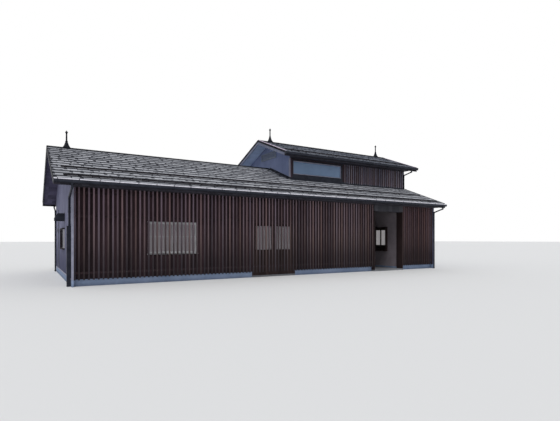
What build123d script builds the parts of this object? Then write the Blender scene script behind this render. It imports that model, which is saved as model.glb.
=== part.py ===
from build123d import *
import os

# A small single-storey station building with a raised clerestory volume.
# All lengths are in millimetres. While it is drawn, x runs along the front from
# the left end of the slat screen and y runs back from the front of the slats.
# The last step moves everything so that the middle of the plan is the origin.

# walls in plan
WALL_LEFT = -40
WALL_RIGHT = 17740
WALL_FRONT = 210
WALL_REAR = 8190
WALL_THICK = 150
WING_THICK = 60

# doorway behind the slatted bay, and the open entrance
BAY_START = 6670
BAY_END = 8800
DOOR_HEAD = 2240
ENTRY_START = 13335
ENTRY_END = 15330
ENTRY_HEAD = 2980
JAMB_THICK = 40
JAMB_DEPTH = 400

# heights of floor and base
FLOOR_TOP = 70
BASE_TOP = 230

# main roof
PITCH = 0.385
MAIN_EAVE_OUT = 840
MAIN_EAVE_TOP = 3470
MAIN_THICK = 130
MAIN_VERGE_LEFT = 530
MAIN_VERGE_RIGHT = 60

# raised volume and its roof
UPPER_LEFT = 9755
UPPER_FRONT = 2130
UPPER_EAVE_OUT = 555
UPPER_EAVE_TOP = 5750
UPPER_THICK = 110
UPPER_VERGE_LEFT = 625
UPPER_VERGE_RIGHT = 420

# boards along the verges and eaves
VERGE_THICK = 30
VERGE_DEPTH = 200
FASCIA_THICK = 20
FASCIA_DROP = 5
FASCIA_BELOW = 35
SOFFIT_DROP = 185
BOARD_THICK = 15

# passage side wall and its curb
SIDE_THICK = 120
CURB_TOP = 155

# gutters
GUTTER_WIDTH = 120
GUTTER_HEIGHT = 125
GUTTER_WALL = 10
GUTTER_CHAMFER = 30
GUTTER_DROP = 25

# downpipes, their clamps and the cover over one of them
PIPE_R = 33
PIPE_GAP = 12
PIPE_FOOT_GAP = 0.3
OUTLET_IN = 50
BEND_BELOW = 60
KNEE_SLOPE = 0.23
LEFT_PIPE_IN = 90
RIGHT_OUTLET_IN = 120
CLAMP_HEIGHT = 30
CLAMP_WIDTH = 40
CLAMP_CLEAR = 0.3
CLAMP_LEVELS = (450, 1550, 2600)
UPPER_CLAMP_UP = (150, 550)
COVER_HEIGHT = 2000
COVER_WIDTH = 126

# slat screens
SLAT_PITCH = 150
SLAT_WIDTH = 54
SLAT_DEPTH = 36
SLAT_BOTTOM = 215
SLAT_START = 2
RAIL_DEPTH = 40
RAIL_HEIGHT = 60
RAIL_LEVELS = (420, 2300, 3080)
STRUT_SPACING = 1800
BAY_SLAT_START = 6560
BAY_SLAT_END = 8660
UPPER_SLAT_GAP = 70
UPPER_SLAT_LIFT = 40

# windows as width, sill and head
PLAIN_WINDOW = (1860, 1050, 2195)
LEFT_WINDOW = (1500, 1200, 1990)
SIDE_WINDOW = (1860, 1000, 2230)
UPPER_WINDOW_WIDTH = 3058
UPPER_WINDOW_HEIGHT = 670
UPPER_WINDOW_DROP = 95
FRONT_WINDOW_X = 3370
REAR_WINDOW_X = (3370, 7300, 11230)
GABLE_WINDOW_SHIFT = -590
SIDE_WINDOW_IN = 860
UPPER_WINDOW_IN = 193
MID_RAIL = 1666
FRAME_BAR = 45
FRAME_DEPTH = 120
FRAME_SET = 15
FRAME_OUT = 70
OUTER_GLASS_IN = 25
CASING_OUT = 130
CASING_BAR = 60
SASH_BAR = 50
SASH_RAIL = 30
SASH_DEPTH = 17
GLASS_SET = 55
GLASS_THICK = 6

# leaves of the doorway and their lights
LEAF_SET = 45
LEAF_THICK = 40
LIGHT_SILL = 1140
LIGHT_HEAD = 2130
LIGHT_EDGE = 186
LIGHT_WIDTHS = (770, 726)
LIGHT_GAP = 248

# ridge caps, finials and snow guards
CAP_HALF = 170
CAP_THICK = 40
FINIAL_IN_LEFT = 160
FINIAL_IN_UPPER = 70
FINIAL_IN_RIGHT = 260
FINIAL_FOOT = 45
FINIAL_SIDES = 8
GUARD_WIDTH = 30
GUARD_HEIGHT = 60
GUARD_ENDS = 260
GUARD_UP = (240, 1380)
UPPER_GUARD_UP = 430

# vent hood and cable pipe on the left gable
HOOD_Y = 2870
HOOD_LENGTH = 330
HOOD_BOTTOM = 2280
HOOD_HEIGHT = 290
HOOD_OUT = 350
HOOD_LIP = 110
HOOD_TOP_OUT = 237
CABLE_Y = 6150
CABLE_R = 14
CABLE_GAP = 6
CABLE_BOTTOM = 300
CABLE_TOP = 2900
CABLE_BOX = (110, 70, 140)
CABLE_BOX_Z = 1920
CABLE_CLIPS = (400, 1200, 2700)

# louvred vents under the upper ridge
VENT_WIDTH = 1500
VENT_HEIGHT = 320
VENT_BELOW_RIDGE = 920
VENT_DEPTH = 35
VENT_BORDER = 30
VENT_BLADES = 5

# places worked out from the sizes above
RIDGE_Y = (WALL_FRONT + WALL_REAR) / 2
WALL_IN_FRONT = WALL_FRONT + WALL_THICK
WALL_IN_REAR = WALL_REAR - WALL_THICK
WALL_IN_LEFT = WALL_LEFT + WALL_THICK
WALL_IN_RIGHT = WALL_RIGHT - WALL_THICK
MAIN_EAVE_Y = WALL_FRONT - MAIN_EAVE_OUT
MAIN_LEFT = WALL_LEFT - MAIN_VERGE_LEFT
MAIN_RIGHT = WALL_RIGHT + MAIN_VERGE_RIGHT
MAIN_RIDGE = MAIN_EAVE_TOP + PITCH * (RIDGE_Y - MAIN_EAVE_Y)
UPPER_EAVE_Y = UPPER_FRONT - UPPER_EAVE_OUT
UPPER_ROOF_LEFT = UPPER_LEFT - UPPER_VERGE_LEFT
UPPER_ROOF_RIGHT = WALL_RIGHT + UPPER_VERGE_RIGHT
UPPER_RIDGE = UPPER_EAVE_TOP + PITCH * (RIDGE_Y - UPPER_EAVE_Y)
SOFFIT_UNDER = MAIN_EAVE_TOP - SOFFIT_DROP
UPPER_SOFFIT_UNDER = UPPER_EAVE_TOP - SOFFIT_DROP
SIDE_TOP = SOFFIT_UNDER + BOARD_THICK
UPPER_HEAD = UPPER_SOFFIT_UNDER - UPPER_WINDOW_DROP
UPPER_WINDOW = (UPPER_WINDOW_WIDTH, UPPER_HEAD - UPPER_WINDOW_HEIGHT, UPPER_HEAD)
UPPER_WINDOW_X = UPPER_LEFT + UPPER_WINDOW_IN + UPPER_WINDOW_WIDTH / 2
LEFT_WINDOW_Y = RIDGE_Y + GABLE_WINDOW_SHIFT
SIDE_WINDOW_Y = WALL_FRONT + SIDE_WINDOW_IN + SIDE_WINDOW[0] / 2
PLAN_X = (MAIN_LEFT + UPPER_ROOF_RIGHT) / 2
PLAN_Y = RIDGE_Y


# heights of the roof faces at a distance back from the front
def main_top(y):
    return MAIN_RIDGE - PITCH * abs(y - RIDGE_Y)


def main_under(y):
    return main_top(y) - MAIN_THICK


def upper_top(y):
    return UPPER_RIDGE - PITCH * abs(y - RIDGE_Y)


def upper_under(y):
    return upper_top(y) - UPPER_THICK


UPPER_BASE = main_under(UPPER_FRONT)


# shapes that many pieces are made of
def box(x0, x1, y0, y1, z0, z1):
    size = Box(x1 - x0, y1 - y0, z1 - z0)
    return Pos((x0 + x1) / 2, (y0 + y1) / 2, (z0 + z1) / 2) * size


def along_x(points, x0, x1):
    face = make_face(Plane.YZ * Polyline(*points, close=True))
    return Pos(x0, 0, 0) * extrude(face, amount=x1 - x0, dir=(1, 0, 0))


def to_rear(shape):
    return mirror(shape, about=Plane(origin=(0, RIDGE_Y, 0), z_dir=(0, 1, 0)))


PARTS = {}


def keep(name, *solids):
    PARTS[name] = solids


# concrete base and floor
def foundation():
    ring = box(WALL_LEFT, WALL_RIGHT, WALL_FRONT, WALL_REAR, 0, BASE_TOP)
    ring -= box(WALL_IN_LEFT, WALL_IN_RIGHT, WALL_IN_FRONT, WALL_IN_REAR, 0, BASE_TOP)
    ring -= box(BAY_START, BAY_END, WALL_FRONT, WALL_IN_FRONT, 0, BASE_TOP)
    ring -= box(ENTRY_START, ENTRY_END, WALL_FRONT, WALL_REAR, 0, BASE_TOP)
    ring += box(WALL_LEFT, WALL_LEFT + WING_THICK, 0, WALL_FRONT, 0, BASE_TOP)
    ring += box(WALL_RIGHT - WING_THICK, WALL_RIGHT, 0, WALL_FRONT, 0, BASE_TOP)
    return ring.solids()


def floor_slab():
    slab = box(WALL_IN_LEFT, WALL_IN_RIGHT, WALL_IN_FRONT, WALL_IN_REAR, 0, FLOOR_TOP)
    slab += box(BAY_START, BAY_END, WALL_FRONT, WALL_IN_FRONT, 0, FLOOR_TOP)
    slab += box(ENTRY_START, ENTRY_END, 0, WALL_REAR, 0, FLOOR_TOP)
    return slab


keep("foundation", *foundation())
keep("floor_slab", floor_slab())


# long walls, drawn at the front; the rear ones are mirrored
def long_wall(x0, x1):
    outline = [(WALL_FRONT, BASE_TOP), (WALL_IN_FRONT, BASE_TOP),
               (WALL_IN_FRONT, main_under(WALL_IN_FRONT)),
               (WALL_FRONT, main_under(WALL_FRONT))]
    return along_x(outline, x0, x1)


def wall_hole(x0, x1, z0, z1):
    return box(x0, x1, WALL_FRONT, WALL_IN_FRONT, z0, z1)


def plain_hole(x):
    width, sill, head = PLAIN_WINDOW
    return wall_hole(x - width / 2, x + width / 2, sill, head)


front_middle = long_wall(BAY_START, ENTRY_START)
front_middle -= wall_hole(BAY_START, BAY_END, BASE_TOP, DOOR_HEAD)
keep("front_wall_left", long_wall(WALL_IN_LEFT, BAY_START) - plain_hole(FRONT_WINDOW_X))
keep("front_wall_middle", front_middle)
keep("front_wall_right", long_wall(ENTRY_END, WALL_IN_RIGHT))

rear_left = long_wall(WALL_IN_LEFT, ENTRY_START)
for window_x in REAR_WINDOW_X:
    rear_left -= plain_hole(window_x)
rear_right = long_wall(ENTRY_START, WALL_IN_RIGHT)
rear_right -= wall_hole(ENTRY_START, ENTRY_END, BASE_TOP, ENTRY_HEAD)
keep("rear_wall_left", to_rear(rear_left))
keep("rear_wall_right", to_rear(rear_right))


# header and jambs of the entrance
def entrance_header():
    outline = [(0, ENTRY_HEAD), (WALL_IN_FRONT, ENTRY_HEAD),
               (WALL_IN_FRONT, main_under(WALL_IN_FRONT)),
               (WALL_FRONT, main_under(WALL_FRONT)), (WALL_FRONT, SOFFIT_UNDER),
               (0, SOFFIT_UNDER)]
    return along_x(outline, ENTRY_START, ENTRY_END)


def entrance_jamb(x0):
    return box(x0, x0 + JAMB_THICK, 0, JAMB_DEPTH, FLOOR_TOP, ENTRY_HEAD)


keep("entrance_header", entrance_header())
keep("entrance_jambs", entrance_jamb(ENTRY_START), entrance_jamb(ENTRY_END - JAMB_THICK))


# side wall of the passage on its curb
def side_run(y0, y1, z0, z1):
    return box(ENTRY_END, ENTRY_END + SIDE_THICK, y0, y1, z0, z1)


def side_wall():
    width, sill, head = SIDE_WINDOW
    wall = side_run(WALL_IN_FRONT, WALL_IN_REAR, CURB_TOP, SIDE_TOP)
    return wall - side_run(SIDE_WINDOW_Y - width / 2, SIDE_WINDOW_Y + width / 2, sill, head)


keep("side_wall", side_wall())
keep("side_wall_curb", side_run(WALL_IN_FRONT, WALL_IN_REAR, FLOOR_TOP, CURB_TOP))


# gable walls of the main volume, each with a wing beside the screen
def gable_wall(x0, wing_x, spec, window_y):
    x1 = x0 + WALL_THICK
    outline = [(WALL_FRONT, BASE_TOP), (WALL_REAR, BASE_TOP),
               (WALL_REAR, main_under(WALL_REAR)), (RIDGE_Y, main_under(RIDGE_Y)),
               (WALL_FRONT, main_under(WALL_FRONT))]
    wall = along_x(outline, x0, x1)
    wall += box(wing_x, wing_x + WING_THICK, 0, WALL_FRONT, BASE_TOP, SOFFIT_UNDER)
    width, sill, head = spec
    return wall - box(x0, x1, window_y - width / 2, window_y + width / 2, sill, head)


right_gable = gable_wall(WALL_IN_RIGHT, WALL_RIGHT - WING_THICK, PLAIN_WINDOW, RIDGE_Y)
right_gable -= box(WALL_IN_RIGHT, WALL_RIGHT, WALL_FRONT, WALL_REAR, UPPER_BASE, MAIN_RIDGE)
keep("left_gable_wall", gable_wall(WALL_LEFT, WALL_LEFT, LEFT_WINDOW, LEFT_WINDOW_Y))
keep("right_gable_wall", right_gable)


# walls of the raised volume
def upper_long_wall():
    y0 = UPPER_FRONT
    y1 = UPPER_FRONT + WALL_THICK
    outline = [(y0, UPPER_BASE), (y1, UPPER_BASE), (y1, upper_under(y1)),
               (y0, upper_under(y0))]
    wall = along_x(outline, UPPER_LEFT + WALL_THICK, WALL_IN_RIGHT)
    width, sill, head = UPPER_WINDOW
    return wall - box(UPPER_WINDOW_X - width / 2, UPPER_WINDOW_X + width / 2, y0, y1,
                      sill, head)


def upper_gable(x0):
    rear = 2 * RIDGE_Y - UPPER_FRONT
    outline = [(UPPER_FRONT, UPPER_BASE), (rear, UPPER_BASE),
               (rear, upper_under(rear)), (RIDGE_Y, upper_under(RIDGE_Y)),
               (UPPER_FRONT, upper_under(UPPER_FRONT))]
    return along_x(outline, x0, x0 + WALL_THICK)


keep("upper_front_wall", upper_long_wall())
keep("upper_rear_wall", to_rear(upper_long_wall()))
keep("upper_left_gable", upper_gable(UPPER_LEFT))
keep("upper_right_gable", upper_gable(WALL_IN_RIGHT))


# roof slabs
def slope_outline(y0, y1, top, thick):
    return [(y0, top(y0) - thick), (y1, top(y1) - thick), (y1, top(y1)), (y0, top(y0))]


def main_slab():
    whole = along_x(slope_outline(MAIN_EAVE_Y, RIDGE_Y, main_top, MAIN_THICK),
                    MAIN_LEFT, UPPER_LEFT)
    low = along_x(slope_outline(MAIN_EAVE_Y, UPPER_FRONT, main_top, MAIN_THICK),
                  UPPER_LEFT, MAIN_RIGHT)
    return whole + low


def upper_slab():
    return along_x(slope_outline(UPPER_EAVE_Y, RIDGE_Y, upper_top, UPPER_THICK),
                   UPPER_ROOF_LEFT, UPPER_ROOF_RIGHT)


keep("main_roof_front", main_slab())
keep("main_roof_rear", to_rear(main_slab()))
keep("upper_roof_front", upper_slab())
keep("upper_roof_rear", to_rear(upper_slab()))


# ridge caps, as a bent plate between two heights above the ridge line
def ridge_plate(ridge, x0, x1, low, high):
    edge = ridge - PITCH * CAP_HALF
    outline = [(RIDGE_Y - CAP_HALF, edge + low), (RIDGE_Y, ridge + low),
               (RIDGE_Y + CAP_HALF, edge + low), (RIDGE_Y + CAP_HALF, edge + high),
               (RIDGE_Y, ridge + high), (RIDGE_Y - CAP_HALF, edge + high)]
    return along_x(outline, x0, x1)


keep("main_ridge_cap", ridge_plate(MAIN_RIDGE, MAIN_LEFT - VERGE_THICK, UPPER_LEFT, 0,
                                   CAP_THICK))
keep("upper_ridge_cap", ridge_plate(UPPER_RIDGE, UPPER_ROOF_LEFT - VERGE_THICK,
                                    UPPER_ROOF_RIGHT + VERGE_THICK, 0, CAP_THICK))

# many-sided finials on the ridge caps, as pairs of radius and height above the ridge
FINIAL_OUTLINE = ((160, -FINIAL_FOOT), (160, 50), (75, 180), (36, 310), (34, 630),
                  (52, 690), (12, 760))


def finial(x, ridge):
    rings = [Pos(0, 0, z) * RegularPolygon(r, FINIAL_SIDES) for r, z in FINIAL_OUTLINE]
    spire = Pos(x, RIDGE_Y, ridge) * loft(rings, ruled=True)
    return spire - ridge_plate(ridge, x - CAP_HALF, x + CAP_HALF, -CAP_HALF, CAP_THICK)


keep("ridge_finials", finial(WALL_LEFT + FINIAL_IN_LEFT, MAIN_RIDGE),
     finial(UPPER_LEFT + FINIAL_IN_UPPER, UPPER_RIDGE),
     finial(WALL_RIGHT - FINIAL_IN_RIGHT, UPPER_RIDGE))


# boards along the verges
def verge_boards(x0, eave_y, top_y, top):
    front = along_x(slope_outline(eave_y, top_y, top, VERGE_DEPTH), x0, x0 + VERGE_THICK)
    rear = to_rear(front)
    if top_y < RIDGE_Y:
        return [front, rear]
    return [front + rear]


main_verges = verge_boards(MAIN_LEFT - VERGE_THICK, MAIN_EAVE_Y, RIDGE_Y, main_top)
main_verges += verge_boards(MAIN_RIGHT, MAIN_EAVE_Y, UPPER_FRONT, main_top)
upper_verges = verge_boards(UPPER_ROOF_LEFT - VERGE_THICK, UPPER_EAVE_Y, RIDGE_Y, upper_top)
upper_verges += verge_boards(UPPER_ROOF_RIGHT, UPPER_EAVE_Y, RIDGE_Y, upper_top)
keep("main_bargeboards", *main_verges)
keep("upper_bargeboards", *upper_verges)


# fascia and soffit along the eaves, closed at both ends by cheeks
def eave_boards(eave_y, wall_y, top, thick, span, wall_span):
    edge = top(eave_y)
    soffit_under = edge - SOFFIT_DROP
    soffit_top = soffit_under + BOARD_THICK
    x0, x1 = wall_span
    boards = box(*span, eave_y - FASCIA_THICK, eave_y, soffit_under - FASCIA_BELOW,
                 edge - FASCIA_DROP)
    boards += box(x0, x1, eave_y, wall_y, soffit_under, soffit_top)
    cheek = [(eave_y, soffit_top), (wall_y, soffit_top), (wall_y, top(wall_y) - thick),
             (eave_y, edge - thick)]
    boards += along_x(cheek, x0, x0 + BOARD_THICK)
    boards += along_x(cheek, x1 - BOARD_THICK, x1)
    return boards


main_span = (MAIN_LEFT - VERGE_THICK, MAIN_RIGHT + VERGE_THICK)
upper_span = (UPPER_ROOF_LEFT - VERGE_THICK, UPPER_ROOF_RIGHT + VERGE_THICK)
main_eave = eave_boards(MAIN_EAVE_Y, WALL_FRONT, main_top, MAIN_THICK, main_span,
                        (WALL_LEFT, WALL_RIGHT))
upper_eave = eave_boards(UPPER_EAVE_Y, UPPER_FRONT, upper_top, UPPER_THICK, upper_span,
                         (UPPER_LEFT, WALL_RIGHT))
keep("main_eave_boards", main_eave, to_rear(main_eave))
keep("upper_eave_boards", upper_eave, to_rear(upper_eave))


# gutters, closed at both ends
def gutter(eave_y, z_top, x0, x1):
    back = eave_y - FASCIA_THICK
    lip = back - GUTTER_WIDTH
    bottom = z_top - GUTTER_HEIGHT
    cut = GUTTER_CHAMFER
    wall = GUTTER_WALL
    outer = [(back, z_top), (back, bottom), (lip + cut, bottom), (lip, bottom + cut),
             (lip, z_top)]
    inner = [(back - wall, z_top), (back - wall, bottom + wall),
             (lip + cut + wall / 2, bottom + wall), (lip + wall, bottom + cut + wall / 2),
             (lip + wall, z_top)]
    return along_x(outer, x0, x1) - along_x(inner, x0 + wall, x1 - wall)


main_gutter = gutter(MAIN_EAVE_Y, MAIN_EAVE_TOP - GUTTER_DROP, *main_span)
upper_gutter = gutter(UPPER_EAVE_Y, UPPER_EAVE_TOP - GUTTER_DROP, *upper_span)
keep("main_gutters", main_gutter, to_rear(main_gutter))
keep("upper_gutters", upper_gutter, to_rear(upper_gutter))


# downpipes with mitred bends, from the underside of a gutter to a wall
def downpipe(x_out, eave_y, eave_top, x, y, foot):
    y_out = eave_y - FASCIA_THICK - OUTLET_IN
    z_out = eave_top - GUTTER_DROP - GUTTER_HEIGHT
    bend = eave_top - SOFFIT_DROP - FASCIA_BELOW - BEND_BELOW
    knee = bend - KNEE_SLOPE * (y - y_out)
    path = Polyline((x_out, y_out, z_out), (x_out, y_out, bend), (x, y, knee), (x, y, foot))
    start = Plane(origin=path @ 0, z_dir=path % 0)
    return sweep(start * Circle(PIPE_R), path=path, transition=Transition.RIGHT)


# clamps between a pipe and its wall, hollowed to clear the pipe
def clamp(x0, x1, y0, y1, z, pipe_x, pipe_y):
    block = box(x0, x1, y0, y1, z, z + CLAMP_HEIGHT)
    bore = Cylinder(PIPE_R + CLAMP_CLEAR, 2 * CLAMP_HEIGHT)
    return block - Pos(pipe_x, pipe_y, z) * bore


def side_clamp(x, y, wall_x, z):
    return clamp(x, wall_x, y - CLAMP_WIDTH / 2, y + CLAMP_WIDTH / 2, z, x, y)


def front_clamp(x, y, wall_y, z):
    return clamp(x - CLAMP_WIDTH / 2, x + CLAMP_WIDTH / 2, y, wall_y, z, x, y)


def left_pipe(foot):
    x = WALL_LEFT - PIPE_R - PIPE_GAP
    y = WALL_FRONT + LEFT_PIPE_IN
    pieces = [downpipe(x, MAIN_EAVE_Y, MAIN_EAVE_TOP, x, y, foot)]
    return pieces + [side_clamp(x, y, WALL_LEFT, z) for z in CLAMP_LEVELS if z > foot]


def right_pipe(wall_y):
    x = WALL_RIGHT - PIPE_R
    y = wall_y - PIPE_R - PIPE_GAP
    pieces = [downpipe(x - RIGHT_OUTLET_IN, MAIN_EAVE_Y, MAIN_EAVE_TOP, x, y, 0)]
    return pieces + [front_clamp(x, y, wall_y, z) for z in CLAMP_LEVELS]


def upper_pipe():
    x = WALL_RIGHT - PIPE_R
    y = UPPER_FRONT - PIPE_R - PIPE_GAP
    foot = main_top(y + PIPE_R) + PIPE_FOOT_GAP
    pieces = [downpipe(x, UPPER_EAVE_Y, UPPER_EAVE_TOP, x, y, foot)]
    return pieces + [front_clamp(x, y, UPPER_FRONT, foot + up) for up in UPPER_CLAMP_UP]


def pipe_cover():
    y0 = WALL_FRONT + LEFT_PIPE_IN - COVER_WIDTH / 2
    return box(WALL_LEFT - COVER_WIDTH, WALL_LEFT, y0, y0 + COVER_WIDTH, 0, COVER_HEIGHT)


rear_pipes = left_pipe(0) + right_pipe(WALL_FRONT)
keep("front_left_downpipe", *left_pipe(COVER_HEIGHT))
keep("front_right_downpipe", *right_pipe(0))
keep("rear_downpipes", *[to_rear(piece) for piece in rear_pipes])
keep("upper_downpipes", *upper_pipe(), *[to_rear(piece) for piece in upper_pipe()])
keep("pipe_cover", pipe_cover())


# slats on one grid, and the screens made of them
def slat_places(x0, x1):
    first = (SLAT_START - x0) % SLAT_PITCH
    count = int((x1 - x0 - first - SLAT_WIDTH) // SLAT_PITCH) + 1
    return [x0 + first + i * SLAT_PITCH for i in range(count)]


def slat(x, y, z0, z1):
    return box(x, x + SLAT_WIDTH, y, y + SLAT_DEPTH, z0, z1)


def slat_screen(x0, x1):
    places = slat_places(x0, x1)
    if places[0] - x0 > SLAT_PITCH / 2:
        places.insert(0, x0)
    y0 = SLAT_DEPTH
    y1 = SLAT_DEPTH + RAIL_DEPTH
    end = places[-1] + SLAT_WIDTH
    screen = slat(places[0], 0, SLAT_BOTTOM, SOFFIT_UNDER)
    for x in places[1:]:
        screen += slat(x, 0, SLAT_BOTTOM, SOFFIT_UNDER)
    for z in RAIL_LEVELS:
        screen += box(places[0], end, y0, y1, z, z + RAIL_HEIGHT)
    step = max(1, int(STRUT_SPACING / SLAT_PITCH))
    z = RAIL_LEVELS[-1]
    for x in places[::step]:
        screen += box(x, x + SLAT_WIDTH, y1, WALL_FRONT, z, z + RAIL_HEIGHT)
    return screen


def upper_slats():
    x0 = UPPER_WINDOW_X + UPPER_WINDOW_WIDTH / 2 + UPPER_SLAT_GAP
    x1 = WALL_RIGHT - 2 * PIPE_R
    y = UPPER_FRONT - SLAT_DEPTH
    z0 = main_top(UPPER_FRONT) + UPPER_SLAT_LIFT
    return [slat(x, y, z0, UPPER_SOFFIT_UNDER) for x in slat_places(x0, x1)]


keep("screen_left", slat_screen(WALL_LEFT + WING_THICK, BAY_SLAT_START))
keep("screen_bay", slat_screen(BAY_SLAT_START, BAY_SLAT_END))
keep("screen_middle", slat_screen(BAY_SLAT_END, ENTRY_START))
keep("screen_right", slat_screen(ENTRY_END, WALL_RIGHT - WING_THICK))
keep("screen_upper", *upper_slats())


# bars that hold snow on the slopes
def snow_guard(y0, top, x0, x1):
    y1 = y0 + GUARD_WIDTH
    high = top(y1) + GUARD_HEIGHT
    return along_x([(y0, top(y0)), (y1, top(y1)), (y1, high), (y0, high)],
                   x0 + GUARD_ENDS, x1 - GUARD_ENDS)


guards = [snow_guard(MAIN_EAVE_Y + up, main_top, MAIN_LEFT, MAIN_RIGHT) for up in GUARD_UP]
guards.append(snow_guard(UPPER_EAVE_Y + UPPER_GUARD_UP, upper_top, UPPER_ROOF_LEFT,
                         UPPER_ROOF_RIGHT))
keep("front_snow_guards", *guards)
keep("rear_snow_guards", *[to_rear(guard) for guard in guards])


# vent hood on the left gable
def vent_hood():
    top = HOOD_BOTTOM + HOOD_HEIGHT
    points = [(WALL_LEFT, HOOD_BOTTOM), (WALL_LEFT - HOOD_OUT, HOOD_BOTTOM),
              (WALL_LEFT - HOOD_OUT, HOOD_BOTTOM + HOOD_LIP),
              (WALL_LEFT - HOOD_TOP_OUT, top), (WALL_LEFT, top)]
    face = make_face(Plane.XZ * Polyline(*points, close=True))
    return Pos(0, HOOD_Y, 0) * extrude(face, amount=HOOD_LENGTH, dir=(0, 1, 0))


# cable pipe with its clips and box
def conduit():
    x = WALL_LEFT - CABLE_R - CABLE_GAP
    length = CABLE_TOP - CABLE_BOTTOM
    run = Pos(x, CABLE_Y, CABLE_BOTTOM + length / 2) * Cylinder(CABLE_R, length)
    wide, deep, tall = CABLE_BOX
    run += box(WALL_LEFT - deep, WALL_LEFT, CABLE_Y - wide / 2, CABLE_Y + wide / 2,
               CABLE_BOX_Z, CABLE_BOX_Z + tall)
    for z in CABLE_CLIPS:
        run += box(x, WALL_LEFT, CABLE_Y - CABLE_R, CABLE_Y + CABLE_R, z, z + CABLE_R)
    return run


# louvred vent under a ridge of the raised volume
def gable_vent(x0):
    x1 = x0 + VENT_DEPTH
    y0 = RIDGE_Y - VENT_WIDTH / 2
    y1 = RIDGE_Y + VENT_WIDTH / 2
    z0 = UPPER_RIDGE - VENT_BELOW_RIDGE
    z1 = z0 + VENT_HEIGHT
    edge = VENT_BORDER
    vent = box(x0, x1, y0, y1, z0, z1)
    vent -= box(x0, x1, y0 + edge, y1 - edge, z0 + edge, z1 - edge)
    step = (VENT_HEIGHT - 2 * edge) / VENT_BLADES
    for i in range(VENT_BLADES):
        z = z0 + edge + i * step
        vent += box(x0 + VENT_DEPTH / 4, x1 - VENT_DEPTH / 4, y0 + edge, y1 - edge,
                    z, z + step / 2)
    return vent


keep("vent_hood", vent_hood())
keep("conduit", conduit())
keep("gable_vents", gable_vent(UPPER_LEFT - VENT_DEPTH), gable_vent(WALL_RIGHT))


# windows, drawn with the outer face of the wall at y = 0 and facing -y
def window(spec, stiles, rails, y0=FRAME_SET, bar=FRAME_BAR, glass_y=GLASS_SET):
    width, sill, head = spec
    w = width / 2
    y1 = FRAME_SET + FRAME_DEPTH
    inside = w - bar
    low = sill + bar
    high = head - bar
    frame = box(-w, w, y0, y1, sill, head) - box(-inside, inside, y0, y1, low, high)
    bar_y = glass_y - SASH_DEPTH
    for x in stiles:
        frame += box(x - SASH_BAR / 2, x + SASH_BAR / 2, bar_y, glass_y, low, high)
    for z in rails:
        frame += box(-inside, inside, bar_y, glass_y, z - SASH_RAIL / 2,
                     z + SASH_RAIL / 2)
    glass = box(-inside, inside, glass_y, glass_y + GLASS_THICK, low, high)
    return frame, glass


def placed(pair, x, y, turn):
    return [Location((x, y, 0), (0, 0, turn)) * piece for piece in pair]


def fit_windows(frame_name, glass_name, pairs):
    keep(frame_name, *[frame for frame, glass in pairs])
    keep(glass_name, *[glass for frame, glass in pairs])


plain = window(PLAIN_WINDOW, (0,), (MID_RAIL,))
fit_windows("front_window_frame", "front_window_glass",
            [placed(plain, FRONT_WINDOW_X, WALL_FRONT, 0)])
fit_windows("rear_window_frames", "rear_window_glass",
            [placed(plain, x, WALL_REAR, 180) for x in REAR_WINDOW_X])
side_casing = window(SIDE_WINDOW, (0,), (), -CASING_OUT, CASING_BAR)
fit_windows("side_window_frame", "side_window_glass",
            [placed(side_casing, ENTRY_END, SIDE_WINDOW_Y, -90)])


def outer_window(spec):
    return window(spec, (0,), (), -FRAME_OUT, FRAME_BAR, OUTER_GLASS_IN - FRAME_OUT)


fit_windows("gable_window_frames", "gable_window_glass",
            [placed(outer_window(LEFT_WINDOW), WALL_LEFT, LEFT_WINDOW_Y, -90),
             placed(outer_window(PLAIN_WINDOW), WALL_RIGHT, RIDGE_Y, 90)])

upper_pair = placed(window(UPPER_WINDOW, (), ()), UPPER_WINDOW_X, UPPER_FRONT, 0)
fit_windows("upper_window_frames", "upper_window_glass",
            [upper_pair, [to_rear(piece) for piece in upper_pair]])


# pair of fixed leaves behind the slatted bay, in one frame
def bay_doors():
    f0 = WALL_FRONT + FRAME_SET
    f1 = f0 + FRAME_DEPTH
    y0 = WALL_FRONT + LEAF_SET
    y1 = y0 + LEAF_THICK
    x0 = BAY_START + FRAME_BAR
    x1 = BAY_END - FRAME_BAR
    head = DOOR_HEAD - FRAME_BAR
    doors = box(BAY_START, BAY_END, f0, f1, FLOOR_TOP, DOOR_HEAD)
    doors -= box(x0, x1, f0, f1, FLOOR_TOP, head)
    doors += box(x0, x1, y0, y1, FLOOR_TOP, head)
    pane_y = (y0 + y1 - GLASS_THICK) / 2
    panes = []
    start = BAY_START + LIGHT_EDGE
    for width in LIGHT_WIDTHS:
        doors -= box(start, start + width, y0, y1, LIGHT_SILL, LIGHT_HEAD)
        panes.append(box(start, start + width, pane_y, pane_y + GLASS_THICK, LIGHT_SILL,
                         LIGHT_HEAD))
        start += width + LIGHT_GAP
    return doors, panes


door_pair, door_panes = bay_doors()
keep("bay_doors", door_pair)
keep("bay_door_glass", *door_panes)

# every piece moved to the middle of the plan and written out
os.makedirs("parts", exist_ok=True)
for name, pieces in PARTS.items():
    solids = [solid for piece in pieces for solid in piece.solids()]
    shape = solids[0] if len(solids) == 1 else Compound(solids)
    shape = Pos(-PLAN_X, -PLAN_Y, 0) * shape
    shape.label = name
    export_step(shape, "parts/" + name + ".step")
print(len(PARTS), "pieces")
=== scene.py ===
import math
import random

import bmesh
import bpy
from mathutils import Matrix, Vector


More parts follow.
